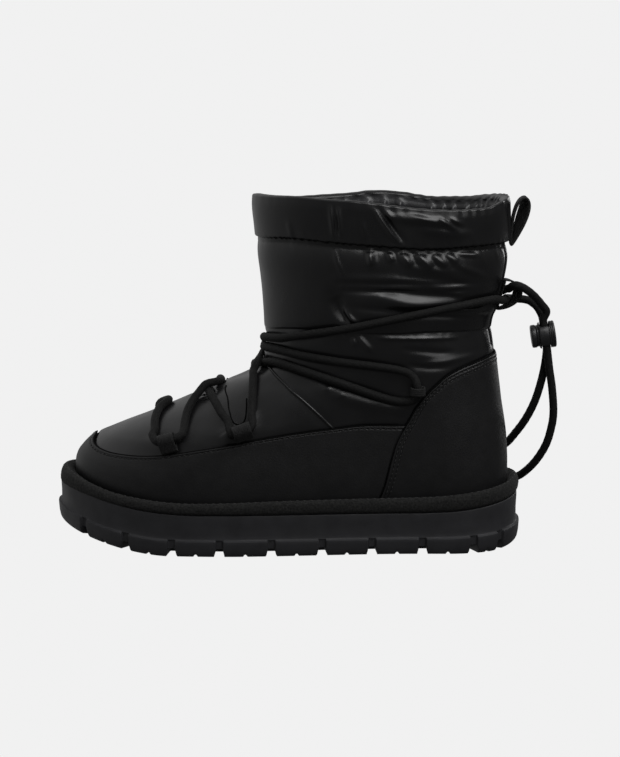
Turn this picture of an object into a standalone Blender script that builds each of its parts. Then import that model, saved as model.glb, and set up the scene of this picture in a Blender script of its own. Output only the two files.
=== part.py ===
"""Winter boot, left foot, standing empty. Metres, +Z up, toe towards -X, outer side towards -Y."""
import math

import bmesh
import bpy
import numpy as np
from mathutils import Matrix, Vector

# Where the last's own zero lies in the part's frame
FRAME_SHIFT = (-0.00226, -0.00192, 0.0)

# Clearances and thicknesses
GAP = 0.0003
PANEL = 0.0012
WEBBING = 0.0011
WEBBING_GAP = 0.0005
PANEL_GAP = 0.0005
WELT_GAP = 0.0007
INSOLE_GAP = 0.0004
LACE_R = 0.0025
LOOP_PLAY = 0.00045

# Small steps along turn and height, for slopes of the skin
STEP_TURN = 0.001
STEP_Z = 0.0002

# Last: sections by height, each with its ends, its half widths at ball and heel, and how far its ends round
COLUMNS = ("z", "front", "back", "ball", "heel", "nose", "tail")
SECTIONS = np.array((
    (0.0255, -0.1310, 0.1307, 0.0445, 0.0355, 0.062, 0.037),
    (0.0350, -0.1316, 0.1322, 0.0458, 0.0366, 0.062, 0.039),
    (0.0420, -0.1313, 0.1326, 0.0460, 0.0372, 0.064, 0.040),
    (0.0480, -0.1300, 0.1326, 0.0457, 0.0375, 0.067, 0.041),
    (0.0540, -0.1270, 0.1324, 0.0451, 0.0376, 0.072, 0.042),
    (0.0600, -0.1228, 0.1321, 0.0443, 0.0376, 0.078, 0.043),
    (0.0660, -0.1172, 0.1317, 0.0436, 0.0375, 0.086, 0.044),
    (0.0710, -0.1088, 0.1312, 0.0430, 0.0374, 0.093, 0.045),
    (0.0795, -0.0880, 0.1299, 0.0424, 0.0372, 0.098, 0.046),
    (0.0880, -0.0684, 0.1285, 0.0418, 0.0371, 0.098, 0.048),
    (0.0970, -0.0489, 0.1274, 0.0413, 0.0372, 0.095, 0.050),
    (0.1040, -0.0342, 0.1265, 0.0409, 0.0375, 0.091, 0.052),
    (0.1100, -0.0240, 0.1258, 0.0406, 0.0380, 0.086, 0.054),
    (0.1180, -0.0182, 0.1248, 0.0404, 0.0385, 0.078, 0.057),
    (0.1260, -0.0162, 0.1236, 0.0402, 0.0390, 0.071, 0.060),
    (0.1350, -0.0158, 0.1229, 0.0403, 0.0396, 0.068, 0.062),
    (0.1490, -0.0165, 0.1262, 0.0412, 0.0408, 0.068, 0.065),
    (0.1650, -0.0180, 0.1305, 0.0420, 0.0416, 0.069, 0.068),
    (0.1800, -0.0202, 0.1330, 0.0428, 0.0424, 0.070, 0.069),
    (0.1940, -0.0218, 0.1338, 0.0434, 0.0430, 0.071, 0.070),
    (0.2050, -0.0230, 0.1334, 0.0437, 0.0433, 0.072, 0.070),
    (0.2110, -0.0226, 0.1322, 0.0430, 0.0426, 0.072, 0.070),
))
BALL_X = -0.055
HEEL_X = 0.085
NOSE_POWER = 2.05
TAIL_POWER = 2.25
TOE_LIFT = 0.012
TOE_LIFT_X = -0.055
TOE_TIP_X = -0.131
HEEL_LIFT = 0.005
HEEL_LIFT_X = 0.075
HEEL_TIP_X = 0.131
FEATHER_Z = 0.0255
LEVEL_Z = 0.072
TOE_SWING = 0.006
TOE_SWING_X = -0.025
TOE_SWING_OVER = 0.10
TOE_SWING_FADE_Z = 0.06
TOE_SWING_FADE = 0.06
WAIST_X = 0.015
WAIST_IN = 0.004
WAIST_SPREAD = 0.04
WAIST_FADE_Z = 0.03
WAIST_FADE = 0.05
COLLAR_Z = 0.211
COLLAR_START_Z = 0.188
COLLAR_RISE = 0.003
COLLAR_SINK = 0.3
COLLAR_MID_X = 0.055
COLLAR_HALF = 0.078

# Upper: wall by height on the inside, and the quilting seams pressed into the outside
ROUND = 40
OUTER_Z = (0.0255, 0.035, 0.045, 0.053, 0.060, 0.067, 0.074, 0.083, 0.092, 0.100, 0.107, 0.113, 0.1215,
           0.1295, 0.1335, 0.1375, 0.147, 0.163, 0.182, 0.186, 0.190, 0.202)
RIM = ((0.208, 0.0004), (0.2105, 0.0020), (0.2112, 0.0040), (0.2095, 0.0062))
INNER = ((0.203, 0.0072), (0.188, 0.0062), (0.162, 0.0046), (0.135, 0.0042), (0.112, 0.0036),
         (0.100, 0.0032), (0.081, 0.003), (0.063, 0.003), (0.045, 0.003), (0.0255, 0.003))
SEAMS = ((0.1335, 0.0020), (0.1860, 0.0022))
SEAM_HALF = 0.0030

# Insole: height, and how far its edge stays off the upper
INSOLE = ((0.0255, INSOLE_GAP), (0.0285, INSOLE_GAP), (0.0298, 0.0016))

# Outsole: share of its height, and how far its side stands out from the feather edge
SOLE_ROUND = 48
SOLE_TOP_Z = 0.0251
SOLE_SIDE = ((0.00, 0.0060), (0.05, 0.0078), (0.35, 0.0088), (0.39, 0.0074), (0.66, 0.0069), (1.00, 0.0072))
SOLE_LEDGE = 0.37
TOE_SPRING = 0.0145
TOE_SPRING_X = -0.072
TOE_SPRING_POWER = 1.7
SOLE_TOE_X = -0.143
TOE_FLARE = 0.0030
HEEL_FLARE = 0.0012
FLARE_POWER = 3
HEEL_BEVEL = 0.0024
HEEL_BEVEL_X = 0.120
SOLE_HEEL_X = 0.139
LUG_GAP_X = (-0.0956, -0.0701, -0.0420, -0.0115, 0.0188, 0.0490, 0.0798, 0.1083)
LUG_CORNER_TURNS = (0.072, 0.439)
LUG_GAP_TOP = 0.0040
LUG_GAP_FOOT = 0.0062
LUG_GAP_DEEP = 0.016
LUG_CUT_OUT = 0.004
LUG_CUT_BELOW = 0.003

# Welt: rounded band, as height over the sole and distance out from the feather edge
WELT_FOOT = (0.0256, 0.0028)
WELT_INNER_Z = (0.0280, 0.0334)
WELT_OUTER = ((0.0352, 0.0050), (0.0349, 0.0068), (0.0330, 0.0081), (0.0300, 0.0084), (0.0270, 0.0080),
              (0.0256, 0.0068))

# Overlays: heights of their top edges by turn from the toe, and the turns by height where they meet
MUDGUARD_EDGE = np.array((
    (0.000, 0.0632), (0.024, 0.0600), (0.062, 0.0568), (0.093, 0.0560), (0.117, 0.0565), (0.140, 0.0581),
    (0.160, 0.0605), (0.178, 0.0634), (0.196, 0.0664), (0.210, 0.0690), (0.240, 0.0733), (0.265, 0.0759),
    (0.290, 0.0778), (0.330, 0.0775)))
COUNTER_EDGE = np.array((
    (0.3262, 0.0880), (0.330, 0.0948), (0.335, 0.0997), (0.353, 0.1083), (0.388, 0.1133), (0.447, 0.1168),
    (0.500, 0.1173)))
COUNTER_FRONT = np.array((
    (0.0270, 0.3155), (0.0348, 0.3183), (0.0446, 0.3219), (0.0568, 0.3240), (0.0714, 0.3255), (0.0880, 0.3262)))
PANEL_PART = 0.0012
PANEL_FOOT_Z = 0.0270
MUDGUARD_GRID = (39, 7)
COUNTER_GRID = (25, 9)

# Lace loops: spot on the lateral skin, lace ahead of it, tab behind it, half width, the way the tab points
LOOP_COLUMNS = ("name", "x", "z", "ahead", "tab", "half", "way", "play")
LOOPS = (
    ("lace_loop_front", -0.0718, 0.0637, 0.0040, 0.0032, 0.0050, (0.28, 0, -0.96), 0.0),
    ("lace_loop_rear", -0.0272, 0.0720, 0.0033, 0.0024, 0.0057, (0.33, 0, -0.94), 0.0),
    ("lace_loop_heel", 0.0785, 0.0995, 0.0021, 0.0020, 0.0024, (1, 0, 0), 0.0005),
)
SIDES = (("lateral", -1), ("medial", 1))

# Lace: x and height of the skin below it, distance out, and hand: 1 starting side, -1 other side, 0 middle.
# Tables by starting side hold the stretches where the two strands cross: -1 lateral, 1 medial.
TOE_BAR = ((-0.0816, 0.0686, 0.0040, 1), (-0.0810, 0.0724, 0.0030, 1), (-0.0813, 0.0776, 0.0030, 1),
           (-0.0790, 0.0823, 0.0030, 1), (0, 0.0856, 0.0030, 0))
VAMP_START = ((-0.0648, 0.0716, 0.0040, 1), (-0.0633, 0.0786, 0.0030, 1), (-0.0614, 0.0843, 0.0030, 1))
VAMP_END = ((-0.0442, 0.0890, 0.0030, -1), (-0.0406, 0.0840, 0.0030, -1), (-0.0367, 0.0798, 0.0032, -1))
VAMP_MIDDLE = {
    -1: ((-0.0575, 0.0890, 0.0036, 1), (-0.0530, 0.0925, 0.0054, 1), (-0.0490, 0.0950, 0.0064, 1),
         (0, 0.0998, 0.0044, 0), (-0.0430, 0.0955, 0.0032, -1)),
    1: ((-0.0575, 0.0895, 0.0030, 1), (0, 0.0948, 0.0030, 0), (-0.0480, 0.0937, 0.0030, -1)),
}
WRAP_UP = ((-0.0236, 0.0842, 0.0036, 1), (-0.0231, 0.0895, 0.0030, 1), (-0.0226, 0.0950, 0.0030, 1),
           (-0.0216, 0.1040, 0.0034, 1))
WRAP_LOW = {
    -1: ((-0.0200, 0.1086, 0.0046, 1), (0, 0.1100, 0.0042, 0), (-0.0190, 0.1136, 0.0036, -1),
         (-0.0146, 0.1152, 0.0033, -1)),
    1: ((-0.0206, 0.1078, 0.0052, 1), (-0.0200, 0.1122, 0.0078, 1), (0, 0.1153, 0.0046, 0),
        (-0.0146, 0.1155, 0.0034, -1)),
}
WRAP_ROUND = ((-0.0043, 0.1130, 0.0032, -1), (0.0071, 0.1102, 0.0031, -1), (0.0303, 0.1036, 0.0030, -1),
              (0.0539, 0.0956, 0.0030, -1), (0.0657, 0.0928, 0.0031, -1), (0.0726, 0.0932, 0.0036, -1),
              (0.0762, 0.0966, 0.0050, -1), (0.0762, 0.1024, 0.0050, -1), (0.0738, 0.1078, 0.0036, -1),
              (0.0680, 0.1112, 0.0031, -1), (0.0540, 0.1137, 0.0030, -1), (0.0305, 0.1164, 0.0030, -1),
              (0.0075, 0.1192, 0.0031, -1), (-0.0039, 0.1210, 0.0032, -1))
WRAP_HIGH = {
    -1: ((-0.0142, 0.1230, 0.0032, -1), (0, 0.1262, 0.0033, 0), (-0.0141, 0.1272, 0.0032, 1)),
    1: ((-0.0142, 0.1216, 0.0033, -1), (0, 0.1208, 0.0040, 0), (-0.0146, 0.1238, 0.0078, 1),
        (-0.0095, 0.1274, 0.0044, 1)),
}
WRAP_BACK = ((-0.0039, 0.1291, 0.0031, 1), (0.0074, 0.1316, 0.0030, 1), (0.0365, 0.1373, 0.0032, 1),
             (0.0655, 0.1435, 0.0033, 1), (0.0945, 0.1490, 0.0033, 1), (0.1120, 0.1514, 0.0031, 1),
             (0.1215, 0.1521, 0.0034, 1))
WRAP_END = {-1: ((0.1251, 0.1508, 0.0038, 1),), 1: ((0.1264, 0.1538, 0.0038, 1),)}

# Back lace loop, a flat D of webbing in the middle plane
BACK_LOOP_Z = 0.1522
BACK_LOOP_HALF_Z = 0.0094
BACK_LOOP_DEEP = 0.0112
BACK_LOOP_HALF = 0.0050

# Pull loop, a teardrop of webbing in the middle plane
PULL_FOOT = (0.1337, 0.1820)
PULL_TOP = (0.1446, 0.2136)
PULL_WIDE = 0.0060
PULL_THICK = 0.0018
PULL_HALF = 0.0055
PULL_SWELL = (0.35, 0.75)
PULL_HOLE = (0.20, 0.94)

# Cord lock: middle, tilt of its axis, and stations along the axis
LOCK_AT = (0.1543, 0.0, 0.1269)
LOCK_TILT = math.radians(8)
LOCK_R = 0.0082
LOCK_BORE_R = 0.0069
LOCK_LEFT = -0.00275
LOCK_BORE_END = 0.00615
LOCK_RIGHT = 0.00735
CORD_A = 0.0012
CORD_Y = 0.00275
CORD_HOLE = (0.0059, 0.0112)
STEM_R = 0.0066
STEM_END = 0.0049
STEM_SLOT = (-0.0027, 0.0041)
CAP_R = 0.0070
CAP_FROM = -0.00735
CAP_TO = -0.00405
CAP_BITE = 0.001
BORE_LEAD = 0.002
CUT_HALF = 0.012
LOCK_SIDES = 18

# Tail of the lace, from the lower cord in the back loop round to the upper one
TAIL_LOWER = ((0.1312, -0.0040, 0.1493), (0.1314, 0.0040, 0.1490), (0.1334, 0.0090, 0.1484),
              (0.1385, 0.0116, 0.1477), (0.1455, 0.0098, 0.1470), (0.1503, 0.0062, 0.1441),
              (0.1529, 0.0038, 0.1402))
TAIL_LOCK = (0.0100, 0.0050, -0.0050, -0.0100)
TAIL_FREE = ((0.1556, 0.0030, 0.1060), (0.1530, 0.0042, 0.0940), (0.1497, 0.0062, 0.0832),
             (0.1448, 0.0098, 0.0724), (0.1390, 0.0158, 0.0626), (0.1342, 0.0215, 0.0556),
             (0.1284, 0.0288, 0.0512), (0.1222, 0.0346, 0.0500), (0.1150, 0.0392, 0.0486),
             (0.1098, 0.0434, 0.0408), (0.1143, 0.0446, 0.0327), (0.1226, 0.0424, 0.0292),
             (0.1312, 0.0358, 0.0294), (0.1382, 0.0270, 0.0322), (0.1440, 0.0190, 0.0366),
             (0.1512, 0.0105, 0.0458), (0.1572, 0.0050, 0.0572), (0.1602, 0.0015, 0.0686),
             (0.1613, -0.0008, 0.0795), (0.1601, -0.0022, 0.0944), (0.1583, -0.0027, 0.1060))
TAIL_UPPER = ((0.1562, -0.0033, 0.1418), (0.1543, -0.0043, 0.1457), (0.1509, -0.0064, 0.1512),
              (0.1470, -0.0088, 0.1557), (0.1424, -0.0106, 0.1590), (0.1377, -0.0108, 0.1598),
              (0.1344, -0.0082, 0.1580), (0.1330, -0.0040, 0.1560), (0.1328, 0.0040, 0.1550))

# Fineness of the lace: longest step along it, and most bend in one step
STRIDE = 0.014
BEND = math.radians(34)

# Colours and finish by slot
SLOTS = {
    "nylon": ((0.016, 0.016, 0.018), 0.32),
    "leather": ((0.018, 0.018, 0.019), 0.48),
    "rubber": ((0.022, 0.022, 0.024), 0.62),
    "band": ((0.014, 0.014, 0.015), 0.85),
    "webbing": ((0.016, 0.016, 0.017), 0.80),
    "lace": ((0.013, 0.013, 0.014), 0.85),
    "lock": ((0.026, 0.026, 0.028), 0.45),
    "footbed": ((0.030, 0.030, 0.032), 0.90),
}


def smooth(t):
    t = np.clip(t, 0.0, 1.0)
    return t * t * (3 - 2 * t)


def through(xs, ys, x):
    """Smooth curve through table rows, with no overshoot between them."""
    h = np.diff(xs)
    d = np.diff(ys) / h
    m = np.concatenate(([d[0]], np.zeros(len(xs) - 2), [d[-1]]))
    for i in range(1, len(xs) - 1):
        if d[i - 1] * d[i] > 0:
            a = (2 * h[i] + h[i - 1]) / (3 * (h[i] + h[i - 1]))
            m[i] = d[i - 1] * d[i] / (a * d[i] + (1 - a) * d[i - 1])
    x = np.clip(x, xs[0], xs[-1])
    i = np.clip(np.searchsorted(xs, x) - 1, 0, len(xs) - 2)
    t = (x - xs[i]) / h[i]
    return ((1 + 2 * t) * (1 - t) ** 2 * ys[i] + t * (1 - t) ** 2 * h[i] * m[i]
            + t * t * (3 - 2 * t) * ys[i + 1] + t * t * (t - 1) * h[i] * m[i + 1])


def column(name, z):
    return through(SECTIONS[:, 0], SECTIONS[:, COLUMNS.index(name)], z)


def lift(x):
    """Rise of the feather edge towards toe and heel."""
    toe = np.clip((TOE_LIFT_X - x) / (TOE_LIFT_X - TOE_TIP_X), 0, None)
    heel = np.clip((x - HEEL_LIFT_X) / (HEEL_TIP_X - HEEL_LIFT_X), 0, None)
    return TOE_LIFT * toe ** 2 + HEEL_LIFT * heel ** 2


def level(x, z):
    """True height of a section's point: lifted low down at toe and heel, saddled at the collar."""
    low = np.clip((LEVEL_Z - z) / (LEVEL_Z - FEATHER_Z), 0, 1)
    high = smooth((z - COLLAR_START_Z) / (COLLAR_Z - COLLAR_START_Z))
    saddle = ((x - COLLAR_MID_X) / COLLAR_HALF) ** 2 - COLLAR_SINK
    return z + lift(x) * low + COLLAR_RISE * high * saddle


def skin_at(turn, z):
    """Point of the outside of the upper, by turn round it from the toe past the lateral side, and height."""
    turn, z = np.broadcast_arrays(np.asarray(turn, float), np.asarray(z, float))
    front = column("front", z)
    back = column("back", z)
    ball = column("ball", z)
    x = front + (1 - np.cos(2 * np.pi * turn)) / 2 * (back - front)
    side = np.where(np.mod(turn, 1.0) < 0.5, -1.0, 1.0)
    w = ball + (column("heel", z) - ball) * smooth((x - BALL_X) / (HEEL_X - BALL_X))
    f = np.clip((x - front) / column("nose", z), 0, 1)
    b = np.clip((back - x) / column("tail", z), 0, 1)
    w = w * (1 - (1 - f) ** NOSE_POWER) ** (1 / NOSE_POWER) * (1 - (1 - b) ** TAIL_POWER) ** (1 / TAIL_POWER)
    waist = WAIST_IN * np.exp(-((x - WAIST_X) / WAIST_SPREAD) ** 2)
    waist = waist * (1 - smooth((z - WAIST_FADE_Z) / WAIST_FADE))
    w = w - np.where(side > 0, waist, 0)
    swing = TOE_SWING * smooth((TOE_SWING_X - x) / TOE_SWING_OVER)
    swing = swing * (1 - smooth((z - TOE_SWING_FADE_Z) / TOE_SWING_FADE))
    return np.stack([x, swing + side * w, level(x, z)], -1)


def normal_at(turn, z):
    turn, z = np.broadcast_arrays(np.asarray(turn, float), np.asarray(z, float))
    z = np.clip(z, FEATHER_Z + 2 * STEP_Z, COLLAR_Z - 2 * STEP_Z)
    along = skin_at(turn + STEP_TURN, z) - skin_at(turn - STEP_TURN, z)
    up = skin_at(turn, z + STEP_Z) - skin_at(turn, z - STEP_Z)
    n = np.cross(along, up)
    return n / np.linalg.norm(n, axis=-1, keepdims=True)


def skin(turn, z, out=0.0):
    turn, z, out = np.broadcast_arrays(turn, z, out)
    return skin_at(turn, z) + normal_at(turn, z) * out[..., None]


def turn_of(x, z):
    """Turn of the lateral point at x; its negative is the medial one."""
    front = column("front", z)
    back = column("back", z)
    return np.arccos(np.clip(1 - 2 * (x - front) / (back - front), -1, 1)) / (2 * np.pi)


def turns(count):
    return (np.arange(count) + 0.5) / count


def outline(turn, out):
    """Plan points at a distance out from the feather edge, flared at toe and heel outside it."""
    out = np.asarray(out, float)
    along = np.cos(2 * np.pi * turn)
    flare = TOE_FLARE * np.clip(along, 0, 1) ** FLARE_POWER + HEEL_FLARE * np.clip(-along, 0, 1) ** FLARE_POWER
    out = out + np.where(out > 0, flare, 0)
    p = skin_at(turn, FEATHER_Z)
    t = skin_at(turn + STEP_TURN, FEATHER_Z) - skin_at(turn - STEP_TURN, FEATHER_Z)
    n = np.stack([t[..., 1], -t[..., 0]], -1)
    n = n / np.linalg.norm(n, axis=-1, keepdims=True)
    return p[..., :2] + n * out[..., None]


def sole_bottom(x):
    toe = np.clip((TOE_SPRING_X - x) / (TOE_SPRING_X - SOLE_TOE_X), 0, None)
    heel = np.clip((x - HEEL_BEVEL_X) / (SOLE_HEEL_X - HEEL_BEVEL_X), 0, None)
    return TOE_SPRING * toe ** TOE_SPRING_POWER + HEEL_BEVEL * heel ** 2


def sole_height(x, share):
    bottom = sole_bottom(x)
    return bottom + share * (SOLE_TOP_Z + lift(x) - bottom)


# Scene, collections and materials
for old in list(bpy.data.objects):
    bpy.data.objects.remove(old)
boot = bpy.data.collections.new("winter_boot")
cutters = bpy.data.collections.new("cutters")
bpy.context.scene.collection.children.link(boot)
bpy.context.scene.collection.children.link(cutters)
root = bpy.data.objects.new("last_zero", None)
root.location = FRAME_SHIFT
boot.objects.link(root)
materials = {}
for slot, (colour, rough) in SLOTS.items():
    material = bpy.data.materials.new(slot)
    material.use_nodes = True
    shader = material.node_tree.nodes["Principled BSDF"]
    shader.inputs["Base Color"].default_value = (*colour, 1)
    shader.inputs["Roughness"].default_value = rough
    material.diffuse_color = (*colour, 1)
    materials[slot] = material


def place(name, data, slot, matrix=None):
    """Adds one sub-part to the boot."""
    item = bpy.data.objects.new(name, data)
    data.materials.append(materials[slot])
    boot.objects.link(item)
    item.parent = root
    if matrix is not None:
        item.matrix_local = matrix
    return item


def place_cutter(name, data, matrix=None):
    item = bpy.data.objects.new(name, data)
    cutters.objects.link(item)
    item.parent = root
    item.hide_render = True
    item.display_type = "WIRE"
    if matrix is not None:
        item.matrix_local = matrix
    return item


def combine(item, tool, operation):
    step = item.modifiers.new(tool.name, "BOOLEAN")
    step.operation = operation
    step.solver = "EXACT"
    step.object = tool


def finish_mesh(bm, name):
    bmesh.ops.recalc_face_normals(bm, faces=bm.faces)
    mesh = bpy.data.meshes.new(name)
    bm.to_mesh(mesh)
    bm.free()
    return mesh


def loft(name, rings, ring_of_rings=False):
    """Skin over equal rings of points; its ends close on themselves or are capped by strips across."""
    bm = bmesh.new()
    rows = [[bm.verts.new(p) for p in ring] for ring in rings]
    count = len(rows[0])
    pairs = list(zip(rows, rows[1:]))
    if ring_of_rings:
        pairs.append((rows[-1], rows[0]))
    for a, b in pairs:
        for k in range(count):
            n = (k + 1) % count
            bm.faces.new((a[k], a[n], b[n], b[k]))
    if not ring_of_rings:
        for row in (rows[0], rows[-1]):
            for k in range(count // 2 - 1):
                bm.faces.new((row[k], row[k + 1], row[count - 2 - k], row[count - 1 - k]))
    return finish_mesh(bm, name)


def course(points, stride, bend):
    """Points along a smooth path through the given ones, closer together where it bends."""
    p = np.array(points, float)
    ends = np.vstack([2 * p[0] - p[1], p, 2 * p[-1] - p[-2]])
    fine = []
    for a, b, c, d in zip(ends, ends[1:], ends[2:], ends[3:]):
        for t in np.linspace(0, 1, 24, endpoint=False):
            fine.append(0.5 * (2 * b + (c - a) * t + (2 * a - 5 * b + 4 * c - d) * t ** 2
                               + (3 * b - 3 * c + d - a) * t ** 3))
    fine = np.vstack([fine, p[-1:]])
    step = np.diff(fine, axis=0)
    size = np.linalg.norm(step, axis=1)
    way = step / size[:, None]
    turned = np.arccos(np.clip(np.sum(way[1:] * way[:-1], axis=1), -1, 1))
    effort = np.concatenate([[0], np.cumsum(size / stride + np.concatenate([[0], turned]) / bend)])
    want = np.linspace(0, effort[-1], int(math.ceil(effort[-1])) + 1)
    return np.stack([np.interp(want, effort, fine[:, i]) for i in range(3)], -1)


def tube(name, points):
    """Round lace along points."""
    curve = bpy.data.curves.new(name, "CURVE")
    curve.dimensions = "3D"
    curve.bevel_depth = LACE_R
    curve.bevel_resolution = 2
    curve.use_fill_caps = True
    spline = curve.splines.new("POLY")
    spline.points.add(len(points) - 1)
    for slot, p in zip(spline.points, points):
        slot.co = (*p, 1)
    return curve


def tube_mesh(name, points):
    """Same lace as a mesh, to be joined with another."""
    holder = bpy.data.objects.new(name, tube(name, points))
    bpy.context.scene.collection.objects.link(holder)
    bpy.context.view_layer.update()
    mesh = bpy.data.meshes.new_from_object(holder.evaluated_get(bpy.context.evaluated_depsgraph_get()))
    bpy.data.objects.remove(holder)
    bm = bmesh.new()
    bm.from_mesh(mesh)
    bmesh.ops.remove_doubles(bm, verts=bm.verts, dist=1e-6)
    return finish_mesh(bm, name)


def plate(name, outer, holes, half):
    """Flat outline with holes, as thick as twice the half."""
    curve = bpy.data.curves.new(name, "CURVE")
    curve.dimensions = "2D"
    curve.fill_mode = "BOTH"
    curve.extrude = half
    for points in (outer, *holes):
        spline = curve.splines.new("POLY")
        spline.points.add(len(points) - 1)
        spline.use_cyclic_u = True
        for slot, (x, y) in zip(spline.points, points):
            slot.co = (x, y, 0, 1)
    return curve


def arc(middle, radius, start, end, count):
    angles = np.linspace(start, end, count)
    return [(middle[0] + radius * math.cos(a), middle[1] + radius * math.sin(a)) for a in angles]


# Upper, one hollow solid, open at the collar and under the foot
def seam_press(z):
    return -sum(deep * math.exp(-((z - at) / SEAM_HALF) ** 2) for at, deep in SEAMS)


around = turns(ROUND)
rings = [skin(around, z, seam_press(z)) for z in OUTER_Z]
rings += [skin(around, z, -deep) for z, deep in RIM + INNER]
place("upper", loft("upper", rings, ring_of_rings=True), "nylon")

# Insole, on the sole inside the upper
rings = []
for z, inset in INSOLE:
    plan = outline(around, -INNER[-1][1] - inset)
    rings.append(np.column_stack([plan, z + lift(plan[:, 0])]))
place("insole", loft("insole", rings), "footbed")

# Outsole with lugs parted by wedge gaps along its side
around = turns(SOLE_ROUND)
rings = []
for share, out in SOLE_SIDE:
    plan = outline(around, np.full(SOLE_ROUND, out))
    rings.append(np.column_stack([plan, sole_height(plan[:, 0], share)]))
outsole = place("outsole", loft("outsole", rings), "rubber")
bm = bmesh.new()
lug_turns = [float(turn_of(x, FEATHER_Z)) for x in LUG_GAP_X]
for turn in lug_turns + list(LUG_CORNER_TURNS):
    for way in (turn, 1 - turn):
        edge = outline(way, SOLE_SIDE[2][1])
        inward = outline(way, 0.0) - edge
        inward = inward / np.linalg.norm(inward)
        roof = sole_height(edge[0], SOLE_LEDGE)
        floor = sole_bottom(edge[0]) - LUG_CUT_BELOW
        deep = LUG_GAP_DEEP + LUG_CUT_OUT
        middle = edge + inward * (deep / 2 - LUG_CUT_OUT)
        spin = Matrix.Rotation(math.atan2(inward[1], inward[0]), 4, "Z")
        where = Matrix.Translation((*middle, (roof + floor) / 2)) @ spin
        made = bmesh.ops.create_cube(bm, size=1)
        for v in made["verts"]:
            wide = LUG_GAP_TOP if v.co.z > 0 else LUG_GAP_FOOT
            v.co = where @ Vector((v.co.x * deep, v.co.y * wide, v.co.z * (roof - floor)))
combine(outsole, place_cutter("lug_gaps", finish_mesh(bm, "lug_gaps")), "DIFFERENCE")

# Welt, a rounded band between sole and upper
rings = [skin(around, z, PANEL_GAP + PANEL + WELT_GAP) for z in WELT_INNER_Z]
for z, out in WELT_OUTER + (WELT_FOOT,):
    plan = outline(around, np.full(SOLE_ROUND, out))
    rings.append(np.column_stack([plan, z + lift(plan[:, 0])]))
place("welt", loft("welt", rings, ring_of_rings=True), "band")


def panel(name, columns, rows, place_of):
    """Overlay lying just off the upper; place_of gives turn and height from two shares."""
    rings = []
    for a in np.linspace(-1, 1, columns):
        spots = [place_of(a, b) for b in np.linspace(0, 1, rows)]
        outer = [skin(t, z, PANEL_GAP + PANEL) for t, z in spots]
        inner = [skin(t, z, PANEL_GAP) for t, z in reversed(spots)]
        rings.append(outer + inner)
    return loft(name, rings)


def panel_height(edge, turn, b):
    top = through(edge[:, 0], edge[:, 1], turn)
    return PANEL_FOOT_Z + b * (top - PANEL_FOOT_Z)


def counter_front(z):
    """Turn of the counter's front edge by height."""
    return through(COUNTER_FRONT[:, 0], COUNTER_FRONT[:, 1], z)


def mudguard_spot(a, b):
    z = panel_height(MUDGUARD_EDGE, abs(a) * (COUNTER_FRONT[-1, 1] - PANEL_PART), b)
    return -a * (counter_front(z) - PANEL_PART), z


def counter_spot(a, b):
    z = panel_height(COUNTER_EDGE, 0.5 - abs(a) * (0.5 - COUNTER_FRONT[-1, 1]), b)
    return 0.5 + a * (0.5 - counter_front(z)), z


place("mudguard", panel("mudguard", *MUDGUARD_GRID, mudguard_spot), "leather")
place("heel_counter", panel("heel_counter", *COUNTER_GRID, counter_spot), "leather")


# Lace loops: webbing folded round the lace, its tab lying on the upper
def loop_frame(row, side):
    """Frame on the skin under the tab: x along the tab, y outwards, z along the lace."""
    turn = float(turn_of(row["x"], row["z"])) * -side
    foot = Vector(skin(turn, row["z"]))
    out = Vector(normal_at(turn, row["z"]))
    way = Vector(row["way"])
    way = (way - out * way.dot(out)).normalized()
    along = way.cross(out)
    frame = Matrix((way, out, along)).transposed().to_4x4()
    frame.translation = foot
    return frame


def loop_plate(name, row):
    bore = LACE_R + LOOP_PLAY + row["play"]
    radius = bore + WEBBING
    middle = (-row["ahead"], WEBBING_GAP + radius)
    end = (row["tab"], WEBBING_GAP + 2 * WEBBING)
    reach = math.hypot(end[0] - middle[0], end[1] - middle[1])
    lean = math.atan2(end[1] - middle[1], end[0] - middle[0])
    over = lean + math.acos(min(1.0, radius / reach))
    outer = arc(middle, radius, -math.pi / 2, over - 2 * math.pi, 13)
    outer += [end, (row["tab"], WEBBING_GAP)]
    hole = arc(middle, bore, 0, 2 * math.pi, 13)[:-1]
    return plate(name, outer, [hole], row["half"])


loop_rows = {row[0]: dict(zip(LOOP_COLUMNS, row)) for row in LOOPS}
for name, row in loop_rows.items():
    for side_name, side in SIDES:
        full = name + "_" + side_name
        place(full, loop_plate(full, row), "webbing", loop_frame(row, side))


def route(rows, side):
    """Lace points from table rows; side is the starting side."""
    points = []
    for x, z, out, hand in rows:
        turn = 0.0 if hand == 0 else float(turn_of(x, z)) * -side * hand
        points.append(skin(turn, z, out))
    return points


# Lace: toe bar, vamp crossing and ankle wraps
bar = route(TOE_BAR, -1) + route(TOE_BAR[:-1], 1)[::-1]
place("lace_toe_bar", tube("lace_toe_bar", course(bar, STRIDE, BEND)), "lace")


def vamp_strand(side):
    return course(route(VAMP_START + VAMP_MIDDLE[side] + VAMP_END, side), STRIDE, BEND)


def wrap_strand(side):
    rows = WRAP_UP + WRAP_LOW[side] + WRAP_ROUND + WRAP_HIGH[side] + WRAP_BACK + WRAP_END[side]
    return course(route(rows, side), STRIDE, BEND)


def joined(name, first, second):
    item = place(name, tube_mesh(name, first), "lace")
    combine(item, place_cutter(name + "_second", tube_mesh(name + "_second", second)), "UNION")


joined("lace_vamp_cross", vamp_strand(1), vamp_strand(-1))
first_wrap = wrap_strand(-1)
second_wrap = wrap_strand(1)
joined("lace_ankle_wraps", first_wrap, second_wrap)

# Back lace loop and pull loop, plates standing in the middle plane
UPRIGHT = Matrix(((1, 0, 0, 0), (0, 0, -1, 0), (0, 1, 0, 0), (0, 0, 0, 1)))


def back_at(z):
    return float(column("back", z)) + seam_press(z)


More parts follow.
